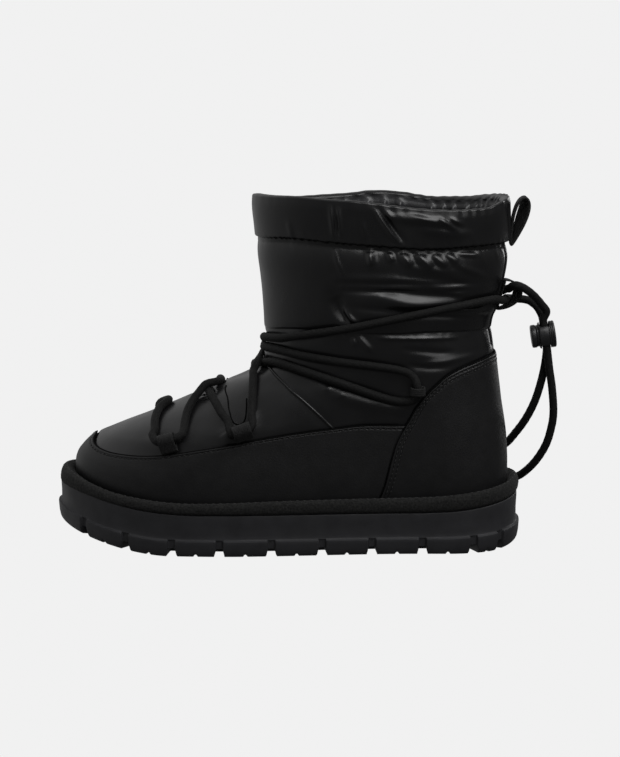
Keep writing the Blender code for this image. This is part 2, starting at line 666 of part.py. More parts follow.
def bow(inset, count):
    """D outline: straight along the shaft's back, bowed out behind it."""
    high = BACK_LOOP_HALF_Z - inset
    deep = BACK_LOOP_DEEP - 2 * inset
    points = []
    for a in np.linspace(-math.pi / 2, math.pi / 2, count):
        z = BACK_LOOP_Z + high * math.sin(a)
        points.append((back_at(z) + WEBBING_GAP + inset + deep * math.cos(a), z))
    return points


bow_plate = plate("back_lace_loop", bow(0, 15), [bow(WEBBING, 13)], BACK_LOOP_HALF)
place("back_lace_loop", bow_plate, "webbing", UPRIGHT)


def teardrop(start, end, wide, count):
    """Drop outline between two shares of the pull loop's height."""
    foot = np.array(PULL_FOOT)
    rise = np.array(PULL_TOP) - foot
    cross = np.array((rise[1], -rise[0])) / np.linalg.norm(rise)
    points = []
    for a in np.linspace(0, 2 * math.pi, count, endpoint=False):
        share = (1 - math.cos(a)) / 2
        swell = wide * math.sin(a) * (PULL_SWELL[0] + PULL_SWELL[1] * share)
        points.append(tuple(foot + rise * (start + share * (end - start)) + cross * swell))
    return points


hole = teardrop(*PULL_HOLE, PULL_WIDE - PULL_THICK, 18)
place("pull_loop", plate("pull_loop", teardrop(0, 1, PULL_WIDE, 22), [hole], PULL_HALF), "webbing", UPRIGHT)


# Cord lock on the tail: a barrel and a plunger that slides in its bore
def rod_mesh(name, radius, start, end):
    bm = bmesh.new()
    turned = Matrix.Translation(((start + end) / 2, 0, 0)) @ Matrix.Rotation(math.pi / 2, 4, "Y")
    bmesh.ops.create_cone(bm, cap_ends=True, segments=LOCK_SIDES, radius1=radius, radius2=radius,
                          depth=end - start, matrix=turned)
    return finish_mesh(bm, name)


def block_mesh(name, low, high):
    bm = bmesh.new()
    size = [b - a for a, b in zip(low, high)]
    middle = [(a + b) / 2 for a, b in zip(low, high)]
    bmesh.ops.create_cube(bm, size=1, matrix=Matrix.Translation(middle) @ Matrix.Diagonal((*size, 1)))
    return finish_mesh(bm, name)


lock_frame = Matrix.Translation(LOCK_AT) @ Matrix.Rotation(-LOCK_TILT, 4, "Y")
barrel = place("cord_lock_barrel", rod_mesh("barrel", LOCK_R, LOCK_LEFT, LOCK_RIGHT), "lock", lock_frame)
bore = rod_mesh("lock_bore", LOCK_BORE_R, LOCK_LEFT - BORE_LEAD, LOCK_BORE_END)
combine(barrel, place_cutter("lock_bore", bore, lock_frame), "DIFFERENCE")
hole_low = (CORD_A - CORD_HOLE[0] / 2, -CORD_HOLE[1] / 2, -CUT_HALF)
hole_high = (CORD_A + CORD_HOLE[0] / 2, CORD_HOLE[1] / 2, CUT_HALF)
lock_hole = block_mesh("lock_hole", hole_low, hole_high)
combine(barrel, place_cutter("lock_hole", lock_hole, lock_frame), "DIFFERENCE")
stem = rod_mesh("plunger", STEM_R, CAP_TO - CAP_BITE, STEM_END)
plunger = place("cord_lock_plunger", stem, "lock", lock_frame)
cap = rod_mesh("lock_cap", CAP_R, CAP_FROM, CAP_TO)
combine(plunger, place_cutter("lock_cap", cap, lock_frame), "UNION")
slot_low = (STEM_SLOT[0], -CORD_HOLE[1] / 2, -CUT_HALF)
slot_high = (STEM_SLOT[1], CORD_HOLE[1] / 2, CUT_HALF)
lock_slot = block_mesh("lock_slot", slot_low, slot_high)
combine(plunger, place_cutter("lock_slot", lock_slot, lock_frame), "DIFFERENCE")


def lock_point(y, s):
    return tuple(lock_frame @ Vector((CORD_A, y, s)))


def past_end(strand):
    """Point just beyond a strand's last one."""
    last = strand[-1] - strand[-2]
    return strand[-1] + last / np.linalg.norm(last) * 3 * GAP


down = [lock_point(CORD_Y, s) for s in TAIL_LOCK]
up = [lock_point(-CORD_Y, s) for s in reversed(TAIL_LOCK)]
tail = [past_end(first_wrap), *TAIL_LOWER, *down, *TAIL_FREE, *up, *TAIL_UPPER, past_end(second_wrap)]
place("lace_tail", tube("lace_tail", course(tail, STRIDE, BEND)), "lace")
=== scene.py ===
"""Looks of the winter boot, laid over its solids. Metres, +Z up, toe towards -X, outer side towards -Y."""
import math

import bmesh
import bpy
import numpy as np
from mathutils import Matrix, Vector, kdtree


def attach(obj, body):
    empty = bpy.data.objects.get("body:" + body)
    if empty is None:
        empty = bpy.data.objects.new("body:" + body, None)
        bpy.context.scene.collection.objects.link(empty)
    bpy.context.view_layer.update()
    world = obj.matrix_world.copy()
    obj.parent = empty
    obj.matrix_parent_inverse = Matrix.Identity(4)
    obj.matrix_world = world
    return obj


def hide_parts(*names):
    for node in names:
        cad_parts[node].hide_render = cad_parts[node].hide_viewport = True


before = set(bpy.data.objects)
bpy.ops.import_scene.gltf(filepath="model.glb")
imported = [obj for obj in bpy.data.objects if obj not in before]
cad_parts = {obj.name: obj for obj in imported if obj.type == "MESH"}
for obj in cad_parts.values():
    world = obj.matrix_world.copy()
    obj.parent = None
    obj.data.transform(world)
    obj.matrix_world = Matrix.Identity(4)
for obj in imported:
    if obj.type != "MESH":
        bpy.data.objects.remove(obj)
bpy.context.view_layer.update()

# Where the last's own zero lies in the part's frame
FRAME_SHIFT = Vector((-0.00226, -0.00192, 0.0))

# Clearances and thicknesses, as in the solids, and the steps and least pace for slopes on the skin
GAP = 0.0003
PANEL = 0.0012
WEBBING = 0.0011
WEBBING_GAP = 0.0005
PANEL_GAP = 0.0005
LACE_R = 0.0025
LOOP_PLAY = 0.00045
STEP_TURN = 0.001
STEP_Z = 0.0002
SLOWEST = 0.05

# Last: sections by height, each with its ends, its half widths at ball and heel, and how far its ends round
COLUMNS = ("z", "front", "back", "ball", "heel", "nose", "tail")
SECTIONS = np.array((
    (0.0255, -0.1310, 0.1307, 0.0445, 0.0355, 0.062, 0.037),
    (0.0350, -0.1316, 0.1322, 0.0458, 0.0366, 0.062, 0.039),
    (0.0420, -0.1313, 0.1326, 0.0460, 0.0372, 0.064, 0.040),
    (0.0480, -0.1300, 0.1326, 0.0457, 0.0375, 0.067, 0.041),
    (0.0540, -0.1270, 0.1324, 0.0451, 0.0376, 0.072, 0.042),
    (0.0600, -0.1228, 0.1321, 0.0443, 0.0376, 0.078, 0.043),
    (0.0660, -0.1172, 0.1317, 0.0436, 0.0375, 0.086, 0.044),
    (0.0710, -0.1088, 0.1312, 0.0430, 0.0374, 0.093, 0.045),
    (0.0795, -0.0880, 0.1299, 0.0424, 0.0372, 0.098, 0.046),
    (0.0880, -0.0684, 0.1285, 0.0418, 0.0371, 0.098, 0.048),
    (0.0970, -0.0489, 0.1274, 0.0413, 0.0372, 0.095, 0.050),
    (0.1040, -0.0342, 0.1265, 0.0409, 0.0375, 0.091, 0.052),
    (0.1100, -0.0240, 0.1258, 0.0406, 0.0380, 0.086, 0.054),
    (0.1180, -0.0182, 0.1248, 0.0404, 0.0385, 0.078, 0.057),
    (0.1260, -0.0162, 0.1236, 0.0402, 0.0390, 0.071, 0.060),
    (0.1350, -0.0158, 0.1229, 0.0403, 0.0396, 0.068, 0.062),
    (0.1490, -0.0165, 0.1262, 0.0412, 0.0408, 0.068, 0.065),
    (0.1650, -0.0180, 0.1305, 0.0420, 0.0416, 0.069, 0.068),
    (0.1800, -0.0202, 0.1330, 0.0428, 0.0424, 0.070, 0.069),
    (0.1940, -0.0218, 0.1338, 0.0434, 0.0430, 0.071, 0.070),
    (0.2050, -0.0230, 0.1334, 0.0437, 0.0433, 0.072, 0.070),
    (0.2110, -0.0226, 0.1322, 0.0430, 0.0426, 0.072, 0.070),
))
BALL_X = -0.055
HEEL_X = 0.085
NOSE_POWER = 2.05
TAIL_POWER = 2.25
TOE_LIFT = 0.012
TOE_LIFT_X = -0.055
TOE_TIP_X = -0.131
HEEL_LIFT = 0.005
HEEL_LIFT_X = 0.075
HEEL_TIP_X = 0.131
FEATHER_Z = 0.0255
LEVEL_Z = 0.072
TOE_SWING = 0.006
TOE_SWING_X = -0.025
TOE_SWING_OVER = 0.10
TOE_SWING_FADE_Z = 0.06
TOE_SWING_FADE = 0.06
WAIST_X = 0.015
WAIST_IN = 0.004
WAIST_SPREAD = 0.04
WAIST_FADE_Z = 0.03
WAIST_FADE = 0.05
COLLAR_Z = 0.211
COLLAR_START_Z = 0.188
COLLAR_RISE = 0.003
COLLAR_SINK = 0.3
COLLAR_MID_X = 0.055
COLLAR_HALF = 0.078

# Upper's wall on the inside: height and depth
INNER = np.array(((0.0255, 0.003), (0.045, 0.003), (0.081, 0.003), (0.100, 0.0032), (0.112, 0.0036),
                  (0.135, 0.0042), (0.162, 0.0046), (0.188, 0.0062), (0.203, 0.0072)))
RIM_Z = 0.2094
RIM_R = 0.0028
RIM_HIGH = 0.0016

# Rise of the rim and strength of its gathers by x, on the lateral and medial sides
RIM_COLUMNS = ("x", "lateral", "medial")
RIM_RISE = np.array((
    (-0.0230, 0.0014, 0.0004), (-0.0100, 0.0028, -0.0030), (0.0063, 0.0041, -0.0022),
    (0.0221, 0.0037, -0.0010), (0.0357, 0.0035, 0.0), (0.0524, 0.0020, 0.0018), (0.0650, 0.0002, 0.0012),
    (0.0914, -0.0026, -0.0024), (0.1087, -0.0036, -0.0024), (0.1180, -0.0038, -0.0014),
    (0.1236, -0.0024, -0.0008), (0.1330, 0.0, 0.0)))
RIM_GATHER = np.array((
    (-0.0230, 0.1, 0.2), (0.0300, 0.05, 0.2), (0.0450, 0.3, 0.4), (0.0570, 0.7, 0.4), (0.1030, 0.7, 0.4),
    (0.1150, 0.5, 0.5), (0.1250, 0.7, 0.7), (0.1330, 0.8, 0.8)))
RIM_FADE = 0.004
GATHER_OUT = 0.00045
GATHER_UP = 0.0003
GATHER_COUNT = 50
GATHER_POWER = 1.4
GATHER_WANDER = ((0.9, 3, 0.7), (0.6, 7, 2.1), (0.35, 12, 4.0))
GATHER_SHIFT = 2.2
GATHER_UNEVEN = 0.3
GATHER_SWELL = ((5, 1.3), (11, 0.4))
SIDE_BLEND = 2.0
RIM_RISE_FROM = 0.1905

# Outsole: share of its height, and how far its side stands out from the feather edge
SOLE_TOP_Z = 0.0251
SOLE_SIDE = ((1.00, 0.0068), (0.985, 0.0072), (0.92, 0.0073), (0.80, 0.0071), (0.66, 0.0069),
             (0.52, 0.0069), (0.44, 0.0070), (0.410, 0.0072), (0.395, 0.0076), (0.386, 0.0084),
             (0.376, 0.0088), (0.35, 0.0089), (0.29, 0.0088), (0.24, 0.0087), (0.20, 0.0086),
             (0.165, 0.0085), (0.11, 0.0082), (0.06, 0.0079), (0.03, 0.0074), (0.012, 0.0068),
             (0.00, 0.0060))
SOLE_WALL = 0.0066
SOLE_LEDGE = 0.37
TOE_SPRING = 0.0145
TOE_SPRING_X = -0.072
TOE_SPRING_POWER = 1.7
SOLE_TOE_X = -0.143
TOE_FLARE = 0.0030
HEEL_FLARE = 0.0012
FLARE_POWER = 3
HEEL_BEVEL = 0.0024
HEEL_BEVEL_X = 0.120
SOLE_HEEL_X = 0.139
LUG_GAP_X = (-0.0956, -0.0701, -0.0420, -0.0115, 0.0188, 0.0490, 0.0798, 0.1083)
LUG_CORNER_TURNS = (0.072, 0.439)
LUG_GAP_TOP = 0.0040
LUG_GAP_FOOT = 0.0062
LUG_GAP_ROOF = 0.20
LUG_GAP_END = -0.0072
NOTCH_HALF = 0.0010
NOTCH_HIGH = 0.0013

# Welt: rounded band, as height over the sole and distance out from the feather edge
WELT_FOOT = (0.0256, 0.0028)
WELT_LEAN = 0.0024
WELT_DROP = 0.0048
WELT_DROP_POWER = 9
WELT_IN = 0.0011
WELT_THIN = np.array(((-0.140, -0.20), (-0.1204, 0.20), (-0.105, 0.35), (-0.060, 0.32), (0.000, 0.17),
                      (0.060, 0.10), (0.110, 0.0)))
WELT_INNER_Z = (0.0280, 0.0306, 0.0334)
WELT_OUTER = ((0.0352, 0.0050), (0.0349, 0.0068), (0.0330, 0.0081), (0.0300, 0.0084), (0.0270, 0.0080),
              (0.0256, 0.0068))

# Overlays: heights of their top edges by turn from the toe, and the turns by height where they meet
MUDGUARD_EDGE = np.array((
    (-0.012, 0.0638), (0.000, 0.0645), (0.012, 0.0638), (0.024, 0.0614), (0.040, 0.0592), (0.066, 0.0571),
    (0.086, 0.0565), (0.109, 0.0569), (0.125, 0.0577), (0.137, 0.0587), (0.154, 0.0609), (0.167, 0.0628),
    (0.179, 0.0644), (0.196, 0.0668), (0.210, 0.0692), (0.240, 0.0733), (0.265, 0.0759),
    (0.290, 0.0778), (0.330, 0.0775)))
COUNTER_EDGE = np.array((
    (0.3262, 0.0880), (0.330, 0.0948), (0.335, 0.0997), (0.353, 0.1083), (0.388, 0.1133), (0.447, 0.1168),
    (0.500, 0.1173)))
COUNTER_FRONT = np.array((
    (0.0270, 0.3155), (0.0348, 0.3183), (0.0446, 0.3219), (0.0568, 0.3240), (0.0714, 0.3255),
    (0.0880, 0.3262)))
PANEL_PART = 0.0012
PANEL_FOOT_Z = 0.0270
PANEL_SEAT = -0.0010

# Lace loops: spot on the lateral skin, lace ahead of it, tab behind it, half width, the way the tab points
LOOP_COLUMNS = ("name", "x", "z", "ahead", "tab", "half", "way", "play")
LOOPS = (
    ("lace_loop_front", -0.0718, 0.0637, 0.0040, 0.0032, 0.0050, (0.28, 0, -0.96), 0.0),
    ("lace_loop_rear", -0.0272, 0.0720, 0.0033, 0.0024, 0.0057, (0.33, 0, -0.94), 0.0),
    ("lace_loop_heel", 0.0785, 0.0995, 0.0021, 0.0020, 0.0024, (1, 0, 0), 0.0005),
)
SIDES = (("lateral", -1), ("medial", 1))

# Lace: x and height of the skin below it, distance out, and hand: 1 starting side, -1 other side, 0 middle.
# Tables by starting side hold the stretches where the two strands cross: -1 lateral, 1 medial.
TOE_BAR = ((-0.0816, 0.0686, 0.0040, 1), (-0.0810, 0.0724, 0.0030, 1), (-0.0813, 0.0776, 0.0030, 1),
           (-0.0790, 0.0823, 0.0030, 1), (0, 0.0856, 0.0030, 0))
VAMP_START = ((-0.0634, 0.0716, 0.0040, 1), (-0.0625, 0.0786, 0.0030, 1))
VAMP_END = ((-0.0442, 0.0890, 0.0030, -1), (-0.0406, 0.0840, 0.0030, -1), (-0.0367, 0.0798, 0.0032, -1))
VAMP_MIDDLE = {
    -1: ((-0.0610, 0.0843, 0.0030, 1), (-0.0575, 0.0890, 0.0036, 1), (-0.0530, 0.0925, 0.0050, 1),
         (-0.0490, 0.0952, 0.0060, 1), (-0.0440, 0.0983, 0.0035, 1), (0, 0.1000, 0.0010, 0),
         (-0.0430, 0.0955, 0.0032, -1)),
    1: ((-0.0610, 0.0834, 0.0008, 1), (-0.0580, 0.0880, -0.0022, 1), (0, 0.0960, -0.0012, 0),
        (-0.0480, 0.0937, 0.0026, -1)),
}
WRAP_UP = ((-0.0224, 0.0842, 0.0036, 1), (-0.0222, 0.0895, 0.0030, 1), (-0.0220, 0.0950, 0.0030, 1),
           (-0.0214, 0.1040, 0.0034, 1))
WRAP_LOW = {
    -1: ((-0.0212, 0.1070, 0.0034, 1), (-0.0183, 0.1118, 0.0036, 1), (0, 0.1156, -0.0006, 0),
         (-0.0165, 0.1158, 0.0010, -1), (-0.0120, 0.1150, 0.0024, -1)),
    1: ((-0.0212, 0.1070, 0.0020, 1), (-0.0205, 0.1100, 0.0002, 1), (0, 0.1118, -0.0010, 0),
        (-0.0170, 0.1130, 0.0000, -1), (-0.0110, 0.1137, 0.0018, -1)),
}
WRAP_ROUND = ((-0.0043, 0.1130, 0.0032, -1), (0.0071, 0.1102, 0.0031, -1), (0.0303, 0.1036, 0.0030, -1),
              (0.0539, 0.0956, 0.0030, -1), (0.0657, 0.0928, 0.0031, -1), (0.0726, 0.0932, 0.0036, -1),
              (0.0762, 0.0966, 0.0050, -1), (0.0762, 0.1024, 0.0050, -1), (0.0738, 0.1078, 0.0036, -1),
              (0.0680, 0.1112, 0.0031, -1), (0.0540, 0.1137, 0.0030, -1), (0.0305, 0.1164, 0.0030, -1),
              (0.0075, 0.1192, 0.0031, -1), (-0.0039, 0.1210, 0.0032, -1))
WRAP_HIGH = {
    -1: ((-0.0142, 0.1230, 0.0022, -1), (0, 0.1262, 0.0012, 0), (-0.0141, 0.1272, 0.0024, 1)),
    1: ((-0.0142, 0.1216, 0.0020, -1), (0, 0.1208, 0.0002, 0), (-0.0140, 0.1214, 0.0026, 1),
        (-0.0092, 0.1240, 0.0064, 1)),
}
WRAP_BACK = ((-0.0039, 0.1291, 0.0031, 1), (0.0074, 0.1316, 0.0030, 1), (0.0365, 0.1373, 0.0032, 1),
             (0.0655, 0.1435, 0.0033, 1), (0.0945, 0.1490, 0.0033, 1), (0.1120, 0.1514, 0.0031, 1),
             (0.1215, 0.1521, 0.0034, 1))
WRAP_END = {-1: ((0.1251, 0.1508, 0.0038, 1),), 1: ((0.1264, 0.1538, 0.0038, 1),)}
LACE_STRIDE = 0.0006
LACE_SIDES = 28
BRAID_AROUND = 7
BRAID_PITCH = 0.0048
BRAID_HIGH = 0.00016
LACE_LAP = 0.0022
LACE_SINK = 0.0018
SINK_CLEAR = 0.014
BEAD_SIDES = 8
BEAD_STRIDE = 0.0008
COURSE_STEPS = 24
ASKEW = (0.31, 0.52, 0.79)
TAIL_PART = 3 * GAP

# Webbing: points across and along its strips, and how it thins at its edges
RIBBON_ACROSS = 13
RIBBON_THIN = 0.35
RIBBON_POWER = 8
LOOP_BEND = 40
LOOP_FLAT = 9
BOW_BEND = 49
BOW_FLAT = 24
DROP_STEPS = 96

# Back lace loop, a flat D of webbing in the middle plane
SEAM_PRESS = ((0.1335, 0.0020), (0.1860, 0.0022))
SEAM_PRESS_HALF = 0.0030
BACK_LOOP_Z = 0.1522
BACK_LOOP_HALF_Z = 0.0094
BACK_LOOP_DEEP = 0.0112
BACK_LOOP_HALF = 0.0050
BACK_LOOP_YAW = 0.45

# Pull loop, a teardrop of webbing in the middle plane
PULL_FOOT = (0.1337, 0.1820)
PULL_TOP = (0.1446, 0.2136)
PULL_WIDE = 0.0060
PULL_THICK = 0.0018
PULL_HALF = 0.0055
PULL_SWELL = (0.35, 0.75)
PULL_FAR = 0.35
PULL_LOW = 0.94
PULL_LEAN = -0.0010

# Cord lock: middle, tilt of its axis, stations along the axis, grip rings and rounded edges
LOCK_AT = (0.1543, 0.0, 0.1269)
LOCK_TILT = math.radians(8)
LOCK_R = 0.0082
LOCK_BORE_R = 0.0069
LOCK_LEFT = -0.00275
LOCK_BORE_END = 0.00615
LOCK_RIGHT = 0.00735
CORD_A = 0.0012
CORD_Y = 0.00275
CORD_HOLE = (0.0059, 0.0112)
STEM_R = 0.0066
STEM_END = 0.0049
STEM_SLOT = (-0.0027, 0.0041)
CAP_R = 0.0070
CAP_FROM = -0.00735
CAP_TO = -0.00405
CUT_HALF = 0.012
BORE_PAST = 0.002
ROUND_STEPS = 5
LOCK_EDGE = 0.0011
LOCK_BEVEL = 0.0003
GRIP_AT = (0.0035, 0.0046, 0.0057)
GRIP_HALF = 0.0003
GRIP_DEEP = 0.00035
CAP_EDGE = 0.0009
CAP_STEP = 0.0001
STEM_BEVEL = 0.00025
BEVEL_STEPS = 3
BEVEL_FROM = math.radians(40)
LOCK_SHARP = math.radians(38)

# Tail of the lace, from the lower cord in the back loop round to the upper one
TAIL_LOWER = ((0.1312, -0.0040, 0.1493), (0.1314, 0.0040, 0.1490), (0.1334, 0.0090, 0.1484),
              (0.1385, 0.0116, 0.1477), (0.1455, 0.0098, 0.1470), (0.1503, 0.0062, 0.1441),
              (0.1529, 0.0038, 0.1402))
TAIL_LOCK = (0.0100, 0.0050, -0.0050, -0.0100)
TAIL_FREE = ((0.1556, 0.0030, 0.1060), (0.1530, 0.0042, 0.0940), (0.1497, 0.0062, 0.0832),
             (0.1448, 0.0098, 0.0724), (0.1390, 0.0158, 0.0626), (0.1342, 0.0215, 0.0556),
             (0.1284, 0.0288, 0.0512), (0.1222, 0.0346, 0.0500), (0.1150, 0.0392, 0.0486),
             (0.1098, 0.0434, 0.0408), (0.1143, 0.0446, 0.0327), (0.1226, 0.0424, 0.0292),
             (0.1312, 0.0358, 0.0294), (0.1382, 0.0270, 0.0322), (0.1440, 0.0190, 0.0366),
             (0.1512, 0.0105, 0.0458), (0.1572, 0.0050, 0.0572), (0.1602, 0.0015, 0.0686),
             (0.1613, -0.0008, 0.0795), (0.1601, -0.0022, 0.0944), (0.1583, -0.0027, 0.1060))
TAIL_UPPER = ((0.1559, -0.0033, 0.1418), (0.1533, -0.0043, 0.1456), (0.1494, -0.0064, 0.1504),
              (0.1454, -0.0088, 0.1543), (0.1411, -0.0106, 0.1574), (0.1370, -0.0108, 0.1590),
              (0.1344, -0.0082, 0.1580), (0.1330, -0.0040, 0.1560), (0.1328, 0.0040, 0.1550))

# Seams of the nylon by turn from the front and height, then their depths, widths, teeth and puckers
COLLAR_SEAM = np.array(((0.0, 0.1874), (0.0365, 0.1876), (0.1216, 0.1890), (0.1817, 0.1876),
                        (0.2439, 0.1855), (0.3062, 0.1837), (0.3820, 0.1847), (0.4456, 0.1850),
                        (0.5, 0.1850)))
ANKLE_SEAM = np.array(((0.0, 0.1322), (0.0315, 0.1324), (0.1381, 0.1348), (0.2639, 0.1330),
                       (0.3212, 0.1340), (0.4506, 0.1330), (0.5, 0.1330)))
VAMP_SEAM = np.array(((0.0, 0.1176), (0.0258, 0.1168), (0.0600, 0.1134), (0.0980, 0.1091), (0.1237, 0.1061),
                      (0.1488, 0.1027), (0.1695, 0.0993), (0.1953, 0.0946), (0.2182, 0.0894),
                      (0.2382, 0.0840), (0.2554, 0.0786), (0.2647, 0.0756)))
SEAM_COLUMNS = ("line", "deep", "half", "flat", "teeth", "puff", "above", "puckers", "reach")
SEAMS = (
    (COLLAR_SEAM, 0.0022, 0.0007, 0.0024, 0.0012, 1.0, 0.0009, 74, 0.0070),
    (ANKLE_SEAM, 0.0008, 0.0007, 0.0, 0.0001, 0.4, 0.0030, 60, 0.0045),
    (VAMP_SEAM, 0.0004, 0.0014, 0.0, 0.0, 0.3, 0.0030, 40, 0.0035),
)
SEAM_END_FADE = 0.006
SEAM_FRONT = 0.5
SEAM_FRONT_TURN = 0.06
TOOTH = 0.0046
TOOTH_OVER = 0.0018
TOOTH_FROM = 0.05
TOOTH_PEAK = 0.3
TOOTH_WAVES = ((0.35, 0.61, 0.0), (0.2, 1.7, 1.0))
PUFF = 0.0011
PUFF_OVER = 0.0095
SEAM_EASE = 0.0035
PANEL_PUFF = 0.35
PUCKER_JITTER = 0.35
PUCKER_HALF = (0.0010, 0.0020)
PUCKER_HIGH = (0.00010, 0.00042)
PUCKER_SIGNS = (1, 1, -0.7)
PUCKER_SLANT = (-0.2, 0.9)
PUCKER_BELOW = (0.7, 1.5)
PUCKER_ABOVE = (0.4, 0.9)
PUCKER_START = 0.0012
CALM = (1.0, 0.35)
CALM_TURNS = (0.02, 0.19)

# More relief of the nylon: vamp, toe edge, ankle, overlays, bed of the lace, loop tabs and back seam
VAMP_DOWN = 0.0013
VAMP_TO = 0.112
VAMP_FADE = 0.012
VAMP_TURN = 0.12
TOE_EDGE_UP = 0.0010
TOE_EDGE_OVER = 0.010
TOE_EDGE_TURN = 0.10
UNDER_PANEL = -0.0012
ANKLE_FRONT_Z = 0.1100
ANKLE_FRONT_HALF = 0.0075
ANKLE_FRONT_TURN = 0.11
ANKLE_FRONT_IN = 0.0050
PANEL_LAP = 0.0005
PANEL_EASE = 0.0035
BED_LIFT = 0.0008
BED_SINK = 0.0002
BED_TOP = 0.0004
BED_WIDE = 0.0036
TAB_GRID = (6, 7)
TAB_AHEAD = 0.003
TAB_SEAT = 0.0002
TAB_PUFF = 0.0016
TAB_EASE = 0.0045
BACK_SEAM_TURN = 0.468
BACK_SEAM_SPAN = ((0.121, 0.004), (0.206, 0.003))
BACK_SEAM_ROWS = ((0.0005, 0.0012, 0.0009), (-0.0009, -0.0010, 0.0009))

# Creases of the lateral side: x and height along the line, half width, and height, under zero for a trough
CREASE_REACH = 3
CREASE_END = 0.02
CREASES = (
    (((0.0540, 0.1546), (0.0690, 0.1518), (0.0910, 0.1496), (0.1100, 0.1474), (0.1239, 0.1446)),
     0.0029, 0.0027),
    (((0.0328, 0.1606), (0.0655, 0.1585), (0.0953, 0.1556), (0.1240, 0.1500)), 0.0024, -0.0016),
    (((0.0535, 0.1652), (0.0833, 0.1631), (0.1240, 0.1570)), 0.0026, 0.0007),
    (((0.0654, 0.1682), (0.0953, 0.1655), (0.1240, 0.1606)), 0.0018, -0.0010),
    (((0.0359, 0.1500), (0.0656, 0.1466), (0.0955, 0.1440), (0.1180, 0.1418)), 0.0022, -0.0012),
    (((0.0262, 0.1560), (0.0300, 0.1480), (0.0360, 0.1385)), 0.0042, -0.0034),
    (((0.0322, 0.1480), (0.0362, 0.1430), (0.0418, 0.1372)), 0.0016, 0.0030),
    (((0.0259, 0.1841), (0.0282, 0.1768), (0.0324, 0.1680)), 0.0015, 0.0009),
    (((0.0469, 0.1830), (0.0486, 0.1746)), 0.0020, 0.0024),
    (((0.0585, 0.1826), (0.0612, 0.1770)), 0.0018, 0.0017),
    (((0.0656, 0.1822), (0.0726, 0.1745)), 0.0023, 0.0025),
    (((0.0752, 0.1818), (0.0846, 0.1733)), 0.0024, 0.0026),
    (((0.0850, 0.1812), (0.0935, 0.1741)), 0.0022, 0.0023),
    (((0.0930, 0.1812), (0.1004, 0.1764)), 0.0018, 0.0017),
    (((0.1010, 0.1812), (0.1130, 0.1796)), 0.0014, 0.0012),
    (((0.0239, 0.2090), (0.0265, 0.1913)), 0.0013, 0.0014),
    (((0.0262, 0.2080), (0.0284, 0.1915)), 0.0012, -0.0013),
    (((0.0284, 0.2080), (0.0302, 0.1926)), 0.0012, 0.0015),
    (((-0.0010, 0.1985), (0.0015, 0.1905)), 0.0016, 0.0004),
    (((0.0429, 0.2001), (0.0454, 0.1908)), 0.0015, 0.0007),
    (((0.0495, 0.2080), (0.0571, 0.1983), (0.0645, 0.1890)), 0.0015, 0.0024),
    (((0.0525, 0.2080), (0.0600, 0.1984), (0.0672, 0.1895)), 0.0014, -0.0018),
    (((0.0880, 0.2060), (0.0937, 0.2006), (0.0984, 0.1962)), 0.0016, 0.0021),
    (((0.0950, 0.2060), (0.1014, 0.2008)), 0.0015, 0.0018),
    (((0.0565, 0.2074), (0.0612, 0.2025)), 0.0019, 0.0018),
    (((0.0600, 0.2050), (0.0780, 0.2040), (0.0930, 0.2022)), 0.0030, 0.0023),
    (((0.0700, 0.2072), (0.0830, 0.2040)), 0.0016, 0.0012),
    (((0.0407, 0.1318), (0.0444, 0.1281), (0.0485, 0.1232)), 0.0015, 0.0013),
    (((0.0371, 0.1310), (0.0395, 0.1263)), 0.0013, 0.0010),
    (((0.0538, 0.1308), (0.0776, 0.1306), (0.0995, 0.1303)), 0.0012, 0.0011),
    (((0.0180, 0.1000), (0.0330, 0.0950), (0.0500, 0.0902), (0.0720, 0.0858)), 0.0034, 0.0010),
    (((0.0689, 0.1240), (0.0897, 0.1217), (0.1190, 0.1215)), 0.0018, -0.0010),
    (((0.0790, 0.1150), (0.0930, 0.1163), (0.1110, 0.1190)), 0.0018, 0.0010),
    (((0.0700, 0.1142), (0.0838, 0.1129), (0.0950, 0.1130)), 0.0018, -0.0011),
    (((0.0275, 0.1672), (0.0600, 0.1668), (0.1000, 0.1655)), 0.0024, 0.0009),
    (((0.0960, 0.1770), (0.1060, 0.1716), (0.1170, 0.1668)), 0.0020, 0.0009),
    (((0.0720, 0.1735), (0.0860, 0.1716), (0.1000, 0.1702)), 0.0022, 0.0007),
    (((0.0760, 0.1975), (0.0920, 0.1945), (0.1080, 0.1930)), 0.0030, 0.0008),
    (((0.0205, 0.1010), (0.0250, 0.0992)), 0.0012, 0.0012),
    (((0.0295, 0.0974), (0.0330, 0.0956)), 0.0012, 0.0012),
    (((0.0500, 0.0938), (0.0580, 0.0918)), 0.0010, 0.0009),
    (((0.0298, 0.1644), (0.0650, 0.1640), (0.1000, 0.1632), (0.1225, 0.1628)), 0.0015, -0.0014),
    (((0.0310, 0.1617), (0.0650, 0.1616), (0.1000, 0.1613), (0.1225, 0.1610)), 0.0013, 0.0005),
    (((0.0321, 0.1592), (0.0600, 0.1590), (0.1000, 0.1592), (0.1225, 0.1592)), 0.0012, -0.0011),
    (((-0.0392, 0.0743), (-0.0344, 0.0690)), 0.0024, 0.0032),
)
